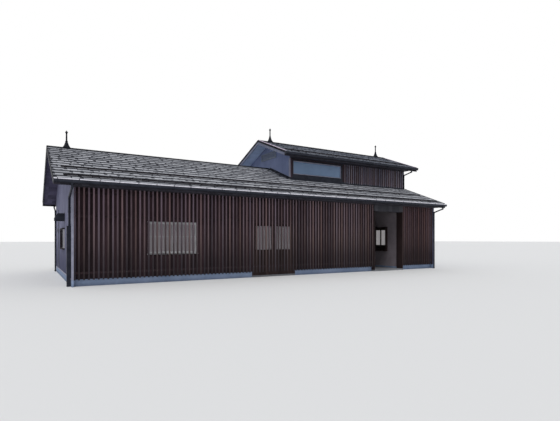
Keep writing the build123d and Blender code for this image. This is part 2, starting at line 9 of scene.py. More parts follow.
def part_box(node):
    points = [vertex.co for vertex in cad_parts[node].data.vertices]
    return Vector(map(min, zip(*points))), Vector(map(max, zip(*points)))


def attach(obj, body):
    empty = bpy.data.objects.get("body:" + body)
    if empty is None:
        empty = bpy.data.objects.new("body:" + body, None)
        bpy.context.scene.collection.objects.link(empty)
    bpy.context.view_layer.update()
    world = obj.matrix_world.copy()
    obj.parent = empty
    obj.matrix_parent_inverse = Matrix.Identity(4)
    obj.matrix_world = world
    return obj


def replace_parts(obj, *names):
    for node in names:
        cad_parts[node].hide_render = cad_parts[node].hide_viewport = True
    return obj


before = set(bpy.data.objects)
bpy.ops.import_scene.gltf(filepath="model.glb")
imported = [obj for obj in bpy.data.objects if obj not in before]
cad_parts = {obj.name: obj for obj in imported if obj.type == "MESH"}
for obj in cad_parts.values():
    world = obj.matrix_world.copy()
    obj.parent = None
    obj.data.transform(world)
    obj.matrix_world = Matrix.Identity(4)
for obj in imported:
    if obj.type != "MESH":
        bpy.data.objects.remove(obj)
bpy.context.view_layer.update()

# Concrete base: a cast plinth under the walls and a curb under the passage wall.
# Grey concrete tinted blue as painted sky shade, with cloudy patches, fine pores and damp marks at
# its foot.
DAMP_HEIGHT = 0.13


def join(mat, source, target):
    if isinstance(source, bpy.types.NodeSocket):
        mat.node_tree.links.new(source, target)
    elif isinstance(source, tuple) and len(target.default_value) == 4:
        target.default_value = (*source, 1.0)
    else:
        target.default_value = source


def fill(mat, node, values):
    for socket, value in values.items():
        if value is not None:
            join(mat, value, node.inputs[socket])


def fill_skin(mat, values):
    fill(mat, mat.node_tree.nodes["Principled BSDF"], values)


def new_finish(name, roughness, metallic=0.0, shine=0.2):
    made = bpy.data.materials.new(name)
    made.use_nodes = True
    fill_skin(made, {"Roughness": roughness, "Metallic": metallic, "Specular IOR Level": shine})
    return made


def new_node(mat, kind, values, **settings):
    made = mat.node_tree.nodes.new("ShaderNode" + kind)
    for setting, choice in settings.items():
        setattr(made, setting, choice)
    fill(mat, made, values)
    return made.outputs


def place_of(mat, stretch=(1, 1, 1), turn=(0, 0, 0)):
    place = new_node(mat, "TexCoord", {})["Object"]
    return new_node(mat, "Mapping", {"Vector": place, "Scale": stretch, "Rotation": turn})["Vector"]


def noise(mat, scale, detail=4.0, stretch=(1, 1, 1), turn=(0, 0, 0)):
    return new_node(mat, "TexNoise", {"Scale": scale, "Detail": detail, "Roughness": 0.55,
                                      "Vector": place_of(mat, stretch, turn)})["Fac"]


def ramp(mat, value, *stops):
    made = mat.node_tree.nodes.new("ShaderNodeValToRGB")
    steps = made.color_ramp.elements
    for step, (place, colour) in zip(steps, (stops[0], stops[-1])):
        step.position = place
        step.color = (*colour, 1.0)
    for place, colour in stops[1:-1]:
        steps.new(place).color = (*colour, 1.0)
    join(mat, value, made.inputs["Fac"])
    return made.outputs["Color"]


def calc(mat, how, first, second=0.0, third=0.0):
    return new_node(mat, "Math", {0: first, 1: second, 2: third}, operation=how)["Value"]


def blend(mat, share, first, second, way="MIX"):
    return new_node(mat, "Mix", {"Factor": share, 6: first, 7: second}, data_type="RGBA",
                    blend_type=way)[2]


def relief(mat, height, depth, under=None):
    return new_node(mat, "Bump", {"Strength": 1.0, "Distance": depth, "Height": height,
                                  "Normal": under})["Normal"]


def span_between(mat, value, low, high):
    return new_node(mat, "MapRange", {"From Min": low, "From Max": high, "Value": value})["Result"]


def axis_of(mat, axis):
    return new_node(mat, "SeparateXYZ", {"Vector": place_of(mat)})[axis]


def coat(mat, tone, bump=None):
    fill_skin(mat, {"Base Color": tone, "Normal": bump})


def mottled_finish(name, roughness, clouds, dark, light, grain=None, metallic=0.0,
                   shine=0.2, stops=(0.35, 0.65)):
    mat = new_finish(name, roughness, metallic, shine)
    tone = ramp(mat, noise(mat, *clouds), (stops[0], dark), (stops[1], light))
    coat(mat, tone, relief(mat, noise(mat, *grain[1:]), grain[0]) if grain else None)
    return mat


def tint(mat, tone, share=1.0, way="MULTIPLY"):
    colour = mat.node_tree.nodes["Principled BSDF"].inputs["Base Color"]
    join(mat, blend(mat, share, colour.links[0].from_socket, tone, way), colour)


def dress(mat, *names):
    for name in names:
        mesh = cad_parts[name].data
        mesh.materials.clear()
        mesh.materials.append(mat)


concrete = mottled_finish("cast_concrete", 0.88, (1.6, 6.0), (0.175, 0.235, 0.36),
                          (0.27, 0.34, 0.49), stops=(0.3, 0.7))
pores = noise(concrete, 90.0, 3.0)
tint(concrete, (0.11, 0.135, 0.2), span_between(concrete, pores, 0.62, 0.72), "MIX")
at_foot = span_between(concrete, axis_of(concrete, 2), DAMP_HEIGHT, 0.0)
damp = calc(concrete, "MULTIPLY", at_foot, noise(concrete, 7.0, 5.0))
tint(concrete, (0.065, 0.08, 0.12), damp, "MIX")
waves = relief(concrete, noise(concrete, 14.0), 0.004)
fill_skin(concrete, {"Normal": relief(concrete, pores, 0.002, waves)})
dress(concrete, "foundation", "side_wall_curb")

# Floor: smooth concrete through the passage and inside, with a faint broom texture
# and worn, darker patches. It is cast level and lies inside the base.
floor_finish = mottled_finish("broomed_floor", 0.7, (0.9, 5.0), (0.13, 0.135, 0.15),
                              (0.2, 0.205, 0.22), (0.0015, 60.0, 2.0, (0.08, 1, 1)))
dress(floor_finish, "floor_slab")

# Boarded walls: upright stained boards over the timber walls behind the slats, on
# the rear and on the raised volume. Each board is nailed on its own and has its tone.
BOARD_PITCH = 0.15
BOARD_GAP = 0.01
BOARD_THICK = 0.012
LEAST_BOARD = 0.01
PAINTED_SHADE_RISE = (0.1, 1.8)
REAR_WINDOW_STEP = 3.93
REAR_WINDOWS = 3
front_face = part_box("front_wall_left")[0].y
wall_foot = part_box("front_wall_left")[0].z
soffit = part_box("screen_left")[1].z


def stained_wood(name, dark, light, grain_scale, board, roughness=0.75):
    mat = new_finish(name, roughness)
    grain = noise(mat, grain_scale, 8.0, (1, 1, 0.05))
    streaks = noise(mat, grain_scale * 0.25, 4.0, (1, 1, 0.12))
    index = {axis: calc(mat, "FLOOR", calc(mat, "DIVIDE", axis_of(mat, axis), board))
             for axis in (0, 1)}
    corner = new_node(mat, "CombineXYZ", index)["Vector"]
    cell = new_node(mat, "TexWhiteNoise", {"Vector": corner}, noise_dimensions="2D")["Value"]
    shade = calc(mat, "MULTIPLY", grain, 0.45)
    for part, share in ((cell, 0.35), (streaks, 0.3)):
        shade = calc(mat, "ADD", shade, calc(mat, "MULTIPLY", part, share))
    coat(mat, ramp(mat, shade, (0.3, dark), (0.75, light)), relief(mat, grain, 0.0015))
    return mat


def add_block(bm, low, high, turn=Matrix.Identity(4)):
    low, high = Vector(low), Vector(high)
    size = Matrix.Diagonal((*(high - low), 1.0))
    place = Matrix.Translation((low + high) / 2)
    return bmesh.ops.create_cube(bm, size=1.0, matrix=place @ turn @ size)["verts"]


def add_rod(bm, start, end, radius, segments, end_radius=None):
    start, end = Vector(start), Vector(end)
    run = end - start
    turn = run.to_track_quat("Z", "Y").to_matrix().to_4x4()
    bmesh.ops.create_cone(bm, cap_ends=True, segments=segments, radius1=radius,
                          radius2=radius if end_radius is None else end_radius,
                          depth=run.length,
                          matrix=Matrix.Translation((start + end) / 2) @ turn)


def add_rear_copy(bm):
    made = bmesh.ops.duplicate(bm, geom=bm.verts[:] + bm.edges[:] + bm.faces[:])["geom"]
    corners = [item for item in made if isinstance(item, bmesh.types.BMVert)]
    faces = [item for item in made if isinstance(item, bmesh.types.BMFace)]
    bmesh.ops.scale(bm, vec=(1, -1, 1), verts=corners)
    bmesh.ops.reverse_faces(bm, faces=faces)


def mesh_of(name, bm):
    mesh = bpy.data.meshes.new(name)
    bm.to_mesh(mesh)
    bm.free()
    return mesh


def add_object(name, data):
    made = bpy.data.objects.new(name, data)
    bpy.context.scene.collection.objects.link(made)
    return made


def set_piece(name, bm, mat, edge=0.0, smooth=False):
    for face in bm.faces:
        face.smooth = smooth
    piece = add_object(name, mesh_of(name, bm))
    piece.data.materials.append(mat)
    if edge:
        soft = piece.modifiers.new("soft_edges", "BEVEL")
        soft.width = edge
        soft.segments = 1
        soft.limit_method = "ANGLE"
    if smooth:
        piece.data.set_sharp_from_angle(angle=math.radians(35))
    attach(piece, "root")
    return piece


def lay_boards(bm, run, rise, face, holes=()):
    cuts = sorted({*run, *[x for hole in holes for x in hole[:2]]})
    for start, end in zip(cuts, cuts[1:]):
        spans = [rise]
        for left, right, sill, head in holes:
            if left < (start + end) / 2 < right:
                spans = [(rise[0], sill), (head, rise[1])]
        for i in range(math.floor(start / BOARD_PITCH), math.ceil(end / BOARD_PITCH)):
            x0 = max(start, i * BOARD_PITCH + BOARD_GAP / 2)
            x1 = min(end, (i + 1) * BOARD_PITCH - BOARD_GAP / 2)
            for z0, z1 in spans:
                if x1 - x0 > LEAST_BOARD and z1 - z0 > LEAST_BOARD:
                    add_block(bm, (x0, face, z0), (x1, face + BOARD_THICK, z1))


def hole_of(node):
    low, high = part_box(node)
    return (low.x, high.x, low.z, high.z)


dark_boards = stained_wood("dark_stained_boards", (0.018, 0.01, 0.013),
                           (0.075, 0.041, 0.05), 40.0, BOARD_PITCH)
# Painted shade darkens the boards towards their foot.
painted_foot_shade = span_between(dark_boards, axis_of(dark_boards, 2), *PAINTED_SHADE_RISE)
tint(dark_boards, ramp(dark_boards, painted_foot_shade, (0.0, (0.42, 0.42, 0.44)),
                       (1.0, (1.0, 1.0, 1.0))))
dress(dark_boards, "front_wall_left", "front_wall_middle", "front_wall_right",
      "rear_wall_left", "rear_wall_right", "upper_front_wall", "upper_rear_wall")

window_hole = hole_of("front_window_frame")
door_hole = (*hole_of("bay_doors")[:2], wall_foot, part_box("bay_doors")[1].z)
bm = bmesh.new()
lay_boards(bm, (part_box("front_wall_left")[0].x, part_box("front_wall_middle")[1].x),
           (wall_foot, soffit), front_face - BOARD_THICK, (window_hole, door_hole))
lay_boards(bm, hole_of("front_wall_right")[:2], (wall_foot, soffit), front_face - BOARD_THICK)
set_piece("front_boarding", bm, dark_boards)

window_left, window_right, window_sill, window_head = window_hole
rear_windows = [(window_left + i * REAR_WINDOW_STEP, window_right + i * REAR_WINDOW_STEP,
                 window_sill, window_head) for i in range(REAR_WINDOWS)]
rear_exit = (*hole_of("entrance_header")[:2], wall_foot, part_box("entrance_header")[0].z)
bm = bmesh.new()
lay_boards(bm, (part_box("rear_wall_left")[0].x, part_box("rear_wall_right")[1].x),
           (wall_foot, soffit), -front_face, (*rear_windows, rear_exit))
set_piece("rear_boarding", bm, dark_boards)

# Slat screens: sawn timber slats screwed to three rails in front of the boarded wall.
# The slats have weathered to a grey brown, darker near the right end. Painted shade darkens them
# towards the foot, painted light brightens them higher up, and painted shade tints the raised
# screen blue. Their sides and everything behind their fronts, the rails too, are darkened as
# painted shade.
SLAT_PITCH = 0.15
SLAT_WIDTH = 0.054
SLAT_BACK = -4.1645
SIDES_FROM = 0.003
SIDE_SHADE = 0.45
PAINTED_LIGHT_HEIGHTS = (0.2, 5.2)
SCREENS_UNDER = 3.4
SCREEN_ENDS = (-8.8, 8.8)
GRID_START = -8.793
GRID_SLACK = 0.01
RAIL_MIDDLES = (0.45, 2.33, 3.11)
SCREW_R = 0.006
SCREW_OFF_RAIL = 0.015
SCREW_IN = 0.001
SCREW_OUT = 0.0025
screens = ("screen_left", "screen_bay", "screen_middle", "screen_right")
slat_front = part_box("screen_left")[0].y
slat_wood = stained_wood("weathered_slats", (0.107, 0.082, 0.089), (0.362, 0.284, 0.3),
                         70.0, SLAT_PITCH, 0.8)
each_slat = calc(slat_wood, "FLOOR",
                 calc(slat_wood, "DIVIDE", axis_of(slat_wood, 0), SLAT_PITCH))
warmth = calc(slat_wood, "FRACT", calc(slat_wood, "MULTIPLY", each_slat, 0.37))
tint(slat_wood, ramp(slat_wood, warmth, (0.0, (0.88, 0.9, 0.98)), (0.5, (0.98, 0.93, 0.95)),
                     (1.0, (1.0, 0.86, 0.76))))
# Painted shade at the foot, painted light higher up, and a blue painted shade on the raised screen.
painted_slat_light = span_between(slat_wood, axis_of(slat_wood, 2), *PAINTED_LIGHT_HEIGHTS)
tint(slat_wood, ramp(slat_wood, painted_slat_light, (0.0, (0.11, 0.12, 0.125)),
                     (0.13, (0.19, 0.2, 0.2)), (0.28, (0.42, 0.42, 0.41)),
                     (0.56, (0.8, 0.78, 0.82)), (1.0, (0.63, 0.81, 0.95))))
on_screens = calc(slat_wood, "LESS_THAN", axis_of(slat_wood, 2), SCREENS_UNDER)
# The sides of the slats are darkened as painted shade.
painted_side_shade = calc(slat_wood, "GREATER_THAN", axis_of(slat_wood, 1), slat_front + SIDES_FROM)
painted_side_shade = calc(slat_wood, "MULTIPLY", painted_side_shade, on_screens)
tint(slat_wood, (0.02, 0.012, 0.014), calc(slat_wood, "MULTIPLY", painted_side_shade, SIDE_SHADE), "MIX")
along = span_between(slat_wood, axis_of(slat_wood, 0), *SCREEN_ENDS)
along = ramp(slat_wood, along, (0.0, (0.86, 0.82, 0.89)), (0.3, (0.9, 0.87, 0.92)),
             (0.6, (1.0, 1.0, 1.0)), (0.855, (1.0, 0.98, 0.98)), (0.885, (0.77, 0.65, 0.64)))
tint(slat_wood, blend(slat_wood, on_screens, (1.0, 1.0, 1.0), along))
# Everything behind the slats' fronts, the rails too, is darkened as painted shade.
behind = calc(slat_wood, "COMPARE", axis_of(slat_wood, 1), (SLAT_BACK + front_face) / 2,
              (front_face - SLAT_BACK) / 2)
tint(slat_wood, (0.032, 0.018, 0.022), behind, "MIX")
dress(slat_wood, *screens, "screen_upper")

steel = mottled_finish("zinc_screws", 0.45, (400.0,), (0.12, 0.11, 0.11), (0.3, 0.29, 0.29),
                       metallic=0.9, stops=(0.3, 0.7))
bm = bmesh.new()
for screen in screens:
    low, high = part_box(screen)
    first = math.ceil((low.x - GRID_START) / SLAT_PITCH + GRID_SLACK)
    last = round((high.x - SLAT_WIDTH - GRID_START) / SLAT_PITCH)
    for left in [low.x, *[GRID_START + i * SLAT_PITCH for i in range(first, last + 1)]]:
        x = left + SLAT_WIDTH / 2
        for z in [rail + side * SCREW_OFF_RAIL for rail in RAIL_MIDDLES for side in (-1, 1)]:
            add_rod(bm, (x, low.y + SCREW_IN, z), (x, low.y - SCREW_OUT, z), SCREW_R, 8,
                    SCREW_R * 0.6)
set_piece("slat_screws", bm, steel)

# Gable walls: grey cement board in upright panels, with a fine sprayed face, tinted blue as painted
# sky shade. The raised volume's left gable has a lighter, bluer copy of the finish as painted
# light. Corner trims and a drip strip at the foot are folded metal in a lighter grey.
PANEL_WIDTH = 0.91
JOINT = 0.008
SPLASH = (1.8, 0.4)
TRIM = 0.07
TRIM_OUT = 0.008
TRIM_RETURN = 0.06
DRIP_HEIGHT = 0.05


def sprayed_panels(name, low_tone, high_tone):
    mat = mottled_finish(name, 0.82, (1.1, 5.0), low_tone, high_tone)
    place = calc(mat, "ADD", axis_of(mat, 1), PANEL_WIDTH / 2)
    off = calc(mat, "PINGPONG", place, PANEL_WIDTH / 2)
    seam = calc(mat, "LESS_THAN", off, JOINT / 2)
    rain = noise(mat, 6.0, 6.0, (1, 1, 0.06))
    dull = tuple(part * share for part, share in zip(low_tone, (0.36, 0.38, 0.5)))
    tint(mat, low_tone, span_between(mat, rain, 0.55, 0.85), "MIX")
    tint(mat, dull, calc(mat, "MULTIPLY", seam, 0.8), "MIX")
    splashed = span_between(mat, axis_of(mat, 2), *SPLASH)
    patches = calc(mat, "ADD", noise(mat, 3.0, 6.0), 0.6)
    tint(mat, dull, calc(mat, "MULTIPLY", splashed, patches), "MIX")
    grit = relief(mat, noise(mat, 160.0, 2.0), 0.0012)
    fill_skin(mat, {"Normal": relief(mat, calc(mat, "SUBTRACT", 1.0, seam), 0.004, grit)})
    return mat


gable_panels = sprayed_panels("grey_gable_panels", (0.118, 0.121, 0.197), (0.162, 0.165, 0.252))
dress(gable_panels, "left_gable_wall", "right_gable_wall", "upper_right_gable")
# A lighter, bluer copy of the gable panels, as painted light.
painted_light_panels = sprayed_panels("upper_gable_panels_painted_light", (0.165, 0.2, 0.33), (0.22, 0.26, 0.42))
dress(painted_light_panels, "upper_left_gable")

trim_paint = mottled_finish("grey_trim_paint", 0.5, (5.0, 6.0), (0.22, 0.225, 0.295),
                            (0.295, 0.3, 0.38), (0.0008, 45.0))
wall_left, wall_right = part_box("left_gable_wall")[0].x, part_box("right_gable_wall")[1].x
wing_front, wall_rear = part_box("left_gable_wall")[0].y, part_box("left_gable_wall")[1].y
bm = bmesh.new()
for x, out in ((wall_left, -1), (wall_right, 1)):
    edge = x + out * TRIM_OUT
    x0, x1 = sorted((x, edge))
    add_block(bm, (x0, wing_front, wall_foot), (x1, wing_front + TRIM, soffit))
    add_block(bm, (x0, wall_rear - TRIM, wall_foot), (x1, wall_rear, soffit))
    add_block(bm, (x0, wing_front + TRIM, wall_foot),
              (x1, wall_rear - TRIM, wall_foot + DRIP_HEIGHT))
    x0, x1 = sorted((x - out * TRIM_RETURN, edge))
    add_block(bm, (x0, wing_front - TRIM_OUT, wall_foot), (x1, wing_front, soffit))
    x0, x1 = sorted((x - out * TRIM, edge))
    add_block(bm, (x0, wall_rear, wall_foot), (x1, wall_rear + TRIM_OUT + BOARD_THICK, soffit))
set_piece("corner_trims", bm, trim_paint, edge=0.002)

# Passage wall and entrance: troweled grey brown plaster on a concrete curb, with soft
# trowel marks. The header and jambs of the entrance are dark stained boards, and two
# battens are nailed across the header.
BATTEN_LIFTS = (0.1, 0.2)
BATTEN_HALF = 0.045
BATTEN_OUT = 0.006
BATTEN_END = 0.002
plaster = mottled_finish("troweled_plaster", 0.9, (1.3, 6.0), (0.21, 0.18, 0.2),
                         (0.3, 0.26, 0.285))
trowel = relief(plaster, noise(plaster, 9.0, 5.0, (1, 1, 0.5), (0.5, 0.3, 0)), 0.004)
fill_skin(plaster, {"Normal": relief(plaster, noise(plaster, 140.0, 2.0), 0.001, trowel)})
dress(plaster, "side_wall")
header_wood = stained_wood("header_boards", (0.036, 0.036, 0.045), (0.078, 0.078, 0.092),
                           30.0, 0.24)
jamb_wood = stained_wood("jamb_boards", (0.014, 0.008, 0.009), (0.04, 0.024, 0.024), 50.0, 0.4)
dress(header_wood, "entrance_header")
dress(jamb_wood, "entrance_jambs")
low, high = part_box("entrance_header")
bm = bmesh.new()
for z in [low.z + lift for lift in BATTEN_LIFTS]:
    add_block(bm, (low.x + BATTEN_END, low.y - BATTEN_OUT, z - BATTEN_HALF),
              (high.x - BATTEN_END, low.y, z + BATTEN_HALF))
set_piece("header_battens", bm, header_wood, edge=0.003)

# Roof covering: laminated shingles in courses 187.5 mm apart, each a thin bed with thicker tabs of
# random width. Every second course has a raised foot over a filler strip, which draws a dark line
# along the slope each 375 mm. The front faces of the raised courses and their fillers are darkened
# as painted shade, and a painted shadow band lies on the course below each raised foot.
ROOF_SLOPE = 0.385
ROOF_PITCH = math.atan(ROOF_SLOPE)
MAIN_SLAB = 0.13
UPPER_SLAB = 0.11
VERGE = 0.03
VERGE_LAP = 0.006
CAP_CLEAR = 0.03
COURSE = 0.1875
COURSE_LAP = 0.02
COURSE_LEAN = 0.03
EAVE_LAP = 0.012
BED_LIFT = 0.001
BED_THICK = 0.004
TAB_THICK = 0.006
TAB_OUT = 0.002
TAB_WIDTHS = (0.16, 0.22, 0.3, 0.38, 0.5)
TAB_GAPS = (0.02, 0.04, 0.07, 0.11)
TAB_TONES = (0.5, 0.6, 0.7, 0.8, 0.95)
LEAST_TAB = 0.03
FIRST_TAB_IN = 0.12
RAISED_FOOT = 0.02
FILLER = (0.004, 0.012)
# Front faces of raised courses and their fillers are darkened as painted shade.
PAINTED_RISER_SHADE = -0.3
PAINTED_SHADOW_BAND = 0.5
random_tabs = random.Random(11)


def shingle_finish(name, eave_y, dark, middle, light):
    mat = new_finish(name, 0.92)
    off_eave = calc(mat, "SUBTRACT", -eave_y, calc(mat, "ABSOLUTE", axis_of(mat, 1)))
    course_run = COURSE * math.cos(ROOF_PITCH)
    in_pair = calc(mat, "FRACT", calc(mat, "DIVIDE", off_eave, course_run * 2))
    # A painted shadow band on the course below each raised foot.
    painted_shadow = calc(mat, "COMPARE", in_pair, 0.45, 0.05)
    tone = new_node(mat, "Attribute", {}, attribute_name="tone")["Fac"]
    grit = noise(mat, 240.0, 2.0)
    value = calc(mat, "MULTIPLY", tone, 0.85)
    for way, part, share in (("ADD", grit, 0.18), ("ADD", noise(mat, 3.2, 5.0), 0.12),
                             ("SUBTRACT", painted_shadow, PAINTED_SHADOW_BAND)):
        value = calc(mat, way, value, calc(mat, "MULTIPLY", part, share))
    coat(mat, ramp(mat, value, (0.2, dark), (0.6, middle), (1.0, light)),
         relief(mat, grit, 0.002))
    return mat


def shade_faces(verts, tone, shade, riser_shade=None):
    for face in {face for corner in verts for face in corner.link_faces}:
        face.normal_update()
        is_riser = riser_shade is not None and face.normal.y < -0.5
        face[tone] = riser_shade if is_riser else shade


def lay_course(bm, tone, x0, x1, foot, top, raised):
    lift = RAISED_FOOT if raised else 0.0
    riser = PAINTED_RISER_SHADE if raised else None
    lean = Matrix.Rotation(-COURSE_LEAN - lift / (top - foot), 4, "X")
    base = BED_LIFT + lift / 2
    course_shade = random_tabs.uniform(-0.15, 0.15)
    bed = add_block(bm, (x0, foot, base), (x1, top, base + BED_THICK), lean)
    shade_faces(bed, tone, random_tabs.uniform(0.05, 0.25), riser)
    if raised:
        filler = add_block(bm, (x0, foot + FILLER[0], BED_LIFT), (x1, foot + FILLER[1], lift))
        shade_faces(filler, tone, PAINTED_RISER_SHADE)
    x = x0 + random_tabs.uniform(0.0, FIRST_TAB_IN)
    while x < x1 - LEAST_TAB:
        width = random_tabs.choice(TAB_WIDTHS)
        shade = course_shade + random_tabs.choice(TAB_TONES)
        tab = add_block(bm, (x, foot - TAB_OUT, base + BED_THICK),
                        (min(x + width, x1), top, base + BED_THICK + TAB_THICK), lean)
        shade_faces(tab, tone, shade, riser)
        x += width + random_tabs.choice(TAB_GAPS)


def lay_slope(name, mat, low, high, slab, corner=None):
    x0, x1 = low.x - VERGE - VERGE_LAP, high.x + VERGE + VERGE_LAP
    slope_end = -low.y / math.cos(ROOF_PITCH) - CAP_CLEAR
    bm = bmesh.new()
    tone = bm.faces.layers.float.new("tone")
    for i in range(math.ceil(slope_end / COURSE)):
        foot = i * COURSE - (0 if i else EAVE_LAP)
        top = min((i + 1) * COURSE + COURSE_LAP, slope_end)
        end = corner[0] if corner and top > corner[1] else x1
        lay_course(bm, tone, x0, end, foot, top, i % 2 == 1)
    bmesh.ops.rotate(bm, cent=(0, 0, 0), matrix=Matrix.Rotation(ROOF_PITCH, 3, "X"),
                     verts=bm.verts)
    bmesh.ops.translate(bm, vec=(0, low.y, low.z + slab), verts=bm.verts)
    add_rear_copy(bm)
    set_piece(name, bm, mat)


deck = mottled_finish("roof_deck_felt", 0.95, (120.0,), (0.03, 0.03, 0.034),
                      (0.07, 0.07, 0.078), stops=(0.3, 0.7))
dress(deck, "main_roof_front", "main_roof_rear", "upper_roof_front", "upper_roof_rear")
main_low, main_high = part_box("main_roof_front")
upper_low, upper_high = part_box("upper_roof_front")
gable_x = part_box("upper_left_gable")[0].x
upper_wall_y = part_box("upper_front_wall")[0].y
shingles = shingle_finish("main_roof_shingles", main_low.y, (0.018, 0.019, 0.028),
                          (0.25, 0.258, 0.285), (0.4, 0.408, 0.44))
# The raised roof has the same shingles in a darker, bluer copy as painted shade.
painted_shade_shingles = shingle_finish("upper_roof_shingles_painted_shade", upper_low.y, (0.034, 0.039, 0.052),
                               (0.2, 0.219, 0.27), (0.36, 0.386, 0.45))
to_upper_wall = (upper_wall_y - main_low.y) / math.cos(ROOF_PITCH)
lay_slope("main_shingles", shingles, main_low, main_high, MAIN_SLAB, (gable_x, to_upper_wall))
lay_slope("upper_shingles", painted_shade_shingles, upper_low, upper_high, UPPER_SLAB)

# Ridge caps: folded metal painted black, in lengths of about 1.8 m with raised lap
# joints. A rounded roll runs along the top, and each joint has a screw on both sides.
CAP_LENGTH = 1.8
CAP_LAP = 0.05
JOINT_HALF = 0.003
ROLL_R = 0.011
ROLL_IN = 0.004
CAP_SCREW_R = 0.008
CAP_SCREW_OUT = 0.06
CAP_SCREW_UNDER = (0.024, 0.014)
black_paint = mottled_finish("black_trim_paint", 0.6, (12.0, 5.0), (0.006, 0.007, 0.01),
                             (0.016, 0.018, 0.024), (0.001, 60.0), shine=0.05,
                             stops=(0.3, 0.7))
dress(black_paint, "main_ridge_cap", "upper_ridge_cap")
bm = bmesh.new()
for node in ("main_ridge_cap", "upper_ridge_cap"):
    low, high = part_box(node)
    add_rod(bm, (low.x, 0, high.z - ROLL_IN), (high.x, 0, high.z - ROLL_IN), ROLL_R, 16)
    half = Vector((CAP_LAP / 2, high.y / 2 / math.cos(ROOF_PITCH), JOINT_HALF))
    for i in range(1, int((high.x - low.x) / CAP_LENGTH) + 1):
        for side in (-1, 1):
            lean = Matrix.Rotation(-side * ROOF_PITCH, 4, "X")
            middle = Vector((low.x + i * CAP_LENGTH, side * high.y / 2,
                             high.z - ROOF_SLOPE * high.y / 2))
            add_block(bm, middle - half, middle + half, lean)
            foot, top = [middle + Vector((0, side * CAP_SCREW_OUT, -under))
                         for under in CAP_SCREW_UNDER]
            add_rod(bm, foot, top, CAP_SCREW_R, 8)
set_piece("ridge_rolls", bm, black_paint)

# Finials: spun metal spires over the ridge caps, each a flared foot, a collar, a
# slender stem and a knob under the point, painted black like the caps.
FINIALS = ((-8.675, main_high.z), (1.03, upper_high.z), (8.685, upper_high.z))
FOOT_R = 0.16
STEM_R = 0.032
OUTLINE = ((0.0, 0.04), (FOOT_R, -0.015), (FOOT_R, 0.03), (0.15, 0.044), (0.124, 0.076),
           (0.102, 0.11), (0.083, 0.155), (0.067, 0.205), (0.054, 0.25), (0.042, 0.272),
           (0.052, 0.28), (0.056, 0.29), (0.052, 0.3), (0.038, 0.308), (STEM_R, 0.33),
           (STEM_R * 0.9, 0.61), (0.034, 0.622), (0.048, 0.64), (0.054, 0.662),
           (0.048, 0.684), (0.032, 0.7), (0.014, 0.716), (0.0, 0.757))
bm = bmesh.new()
for x, ridge_z in FINIALS:
    centre = Vector((x, 0, 0))
    corners = [bm.verts.new((centre.x + radius, 0, ridge_z + up)) for radius, up in OUTLINE]
    edges = [bm.edges.new(pair) for pair in zip(corners, corners[1:])]
    bmesh.ops.spin(bm, geom=corners + edges, cent=centre, axis=(0, 0, 1),
                   dvec=(0, 0, 0), angle=math.tau, steps=32, use_merge=True)
bmesh.ops.remove_doubles(bm, verts=bm.verts, dist=0.0002)
bmesh.ops.recalc_face_normals(bm, faces=bm.faces)
finials = set_piece("turned_finials", bm, black_paint, smooth=True)
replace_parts(finials, "ridge_finials")

# Verges: dark metal boards on the main roof and blue grey ones on the raised roof, closed by folded
# black cappings, with a pale cover strip on top of the raised roof's as a painted sunlit highlight.
# Under the overhangs, sloped soffit boards are nailed beside the gable walls.
CAPPING = 0.01
CAPPING_DOWN = 0.06
CAPPING_UP = 0.033
COVER = 0.13
COVER_THICK = 0.005
SOFFIT_BOARD = 0.3
SOFFIT_GAP = 0.004
SOFFIT_THICK = 0.0125


def add_sloped(bm, x0, x1, y0, y1, ridge_z, low, high):
    lean = Matrix.Rotation(ROOF_PITCH, 4, "X")
    run = (y1 - y0) / math.cos(ROOF_PITCH)
    middle = Vector(((x0 + x1) / 2, (y0 + y1) / 2, ridge_z + ROOF_SLOPE * (y0 + y1) / 2))
    normal = Vector((0, -math.sin(ROOF_PITCH), math.cos(ROOF_PITCH)))
    centre = middle + normal * (low + high) / 2
    half = Vector(((x1 - x0) / 2, run / 2, (high - low) / 2))
    add_block(bm, centre - half, centre + half, lean)


def lay_verge_soffit(bm, x0, x1, eave_y, under_z):
    for i in range(math.ceil(-eave_y / SOFFIT_BOARD)):
        y = eave_y + i * SOFFIT_BOARD
        add_sloped(bm, x0, x1, y, min(y + SOFFIT_BOARD, 0.0) - SOFFIT_GAP, under_z,
                   -SOFFIT_THICK, 0)


dark_metal = mottled_finish("dark_painted_metal", 0.5, (4.0, 6.0), (0.014, 0.016, 0.024),
                            (0.03, 0.033, 0.046), (0.0015, 18.0), shine=0.12,
                            stops=(0.3, 0.7))
scuffs = noise(dark_metal, 60.0, 6.0, (1, 1, 0.3))
tint(dark_metal, (0.1, 0.095, 0.1), span_between(dark_metal, scuffs, 0.68, 0.78), "MIX")
dress(dark_metal, "main_bargeboards")
verge_paint = mottled_finish("blue_grey_verge_paint", 0.6, (4.0, 6.0, (1, 1, 0.4)),
                             (0.12, 0.135, 0.2), (0.18, 0.195, 0.27), (0.0008, 50.0))
dress(verge_paint, "upper_bargeboards")
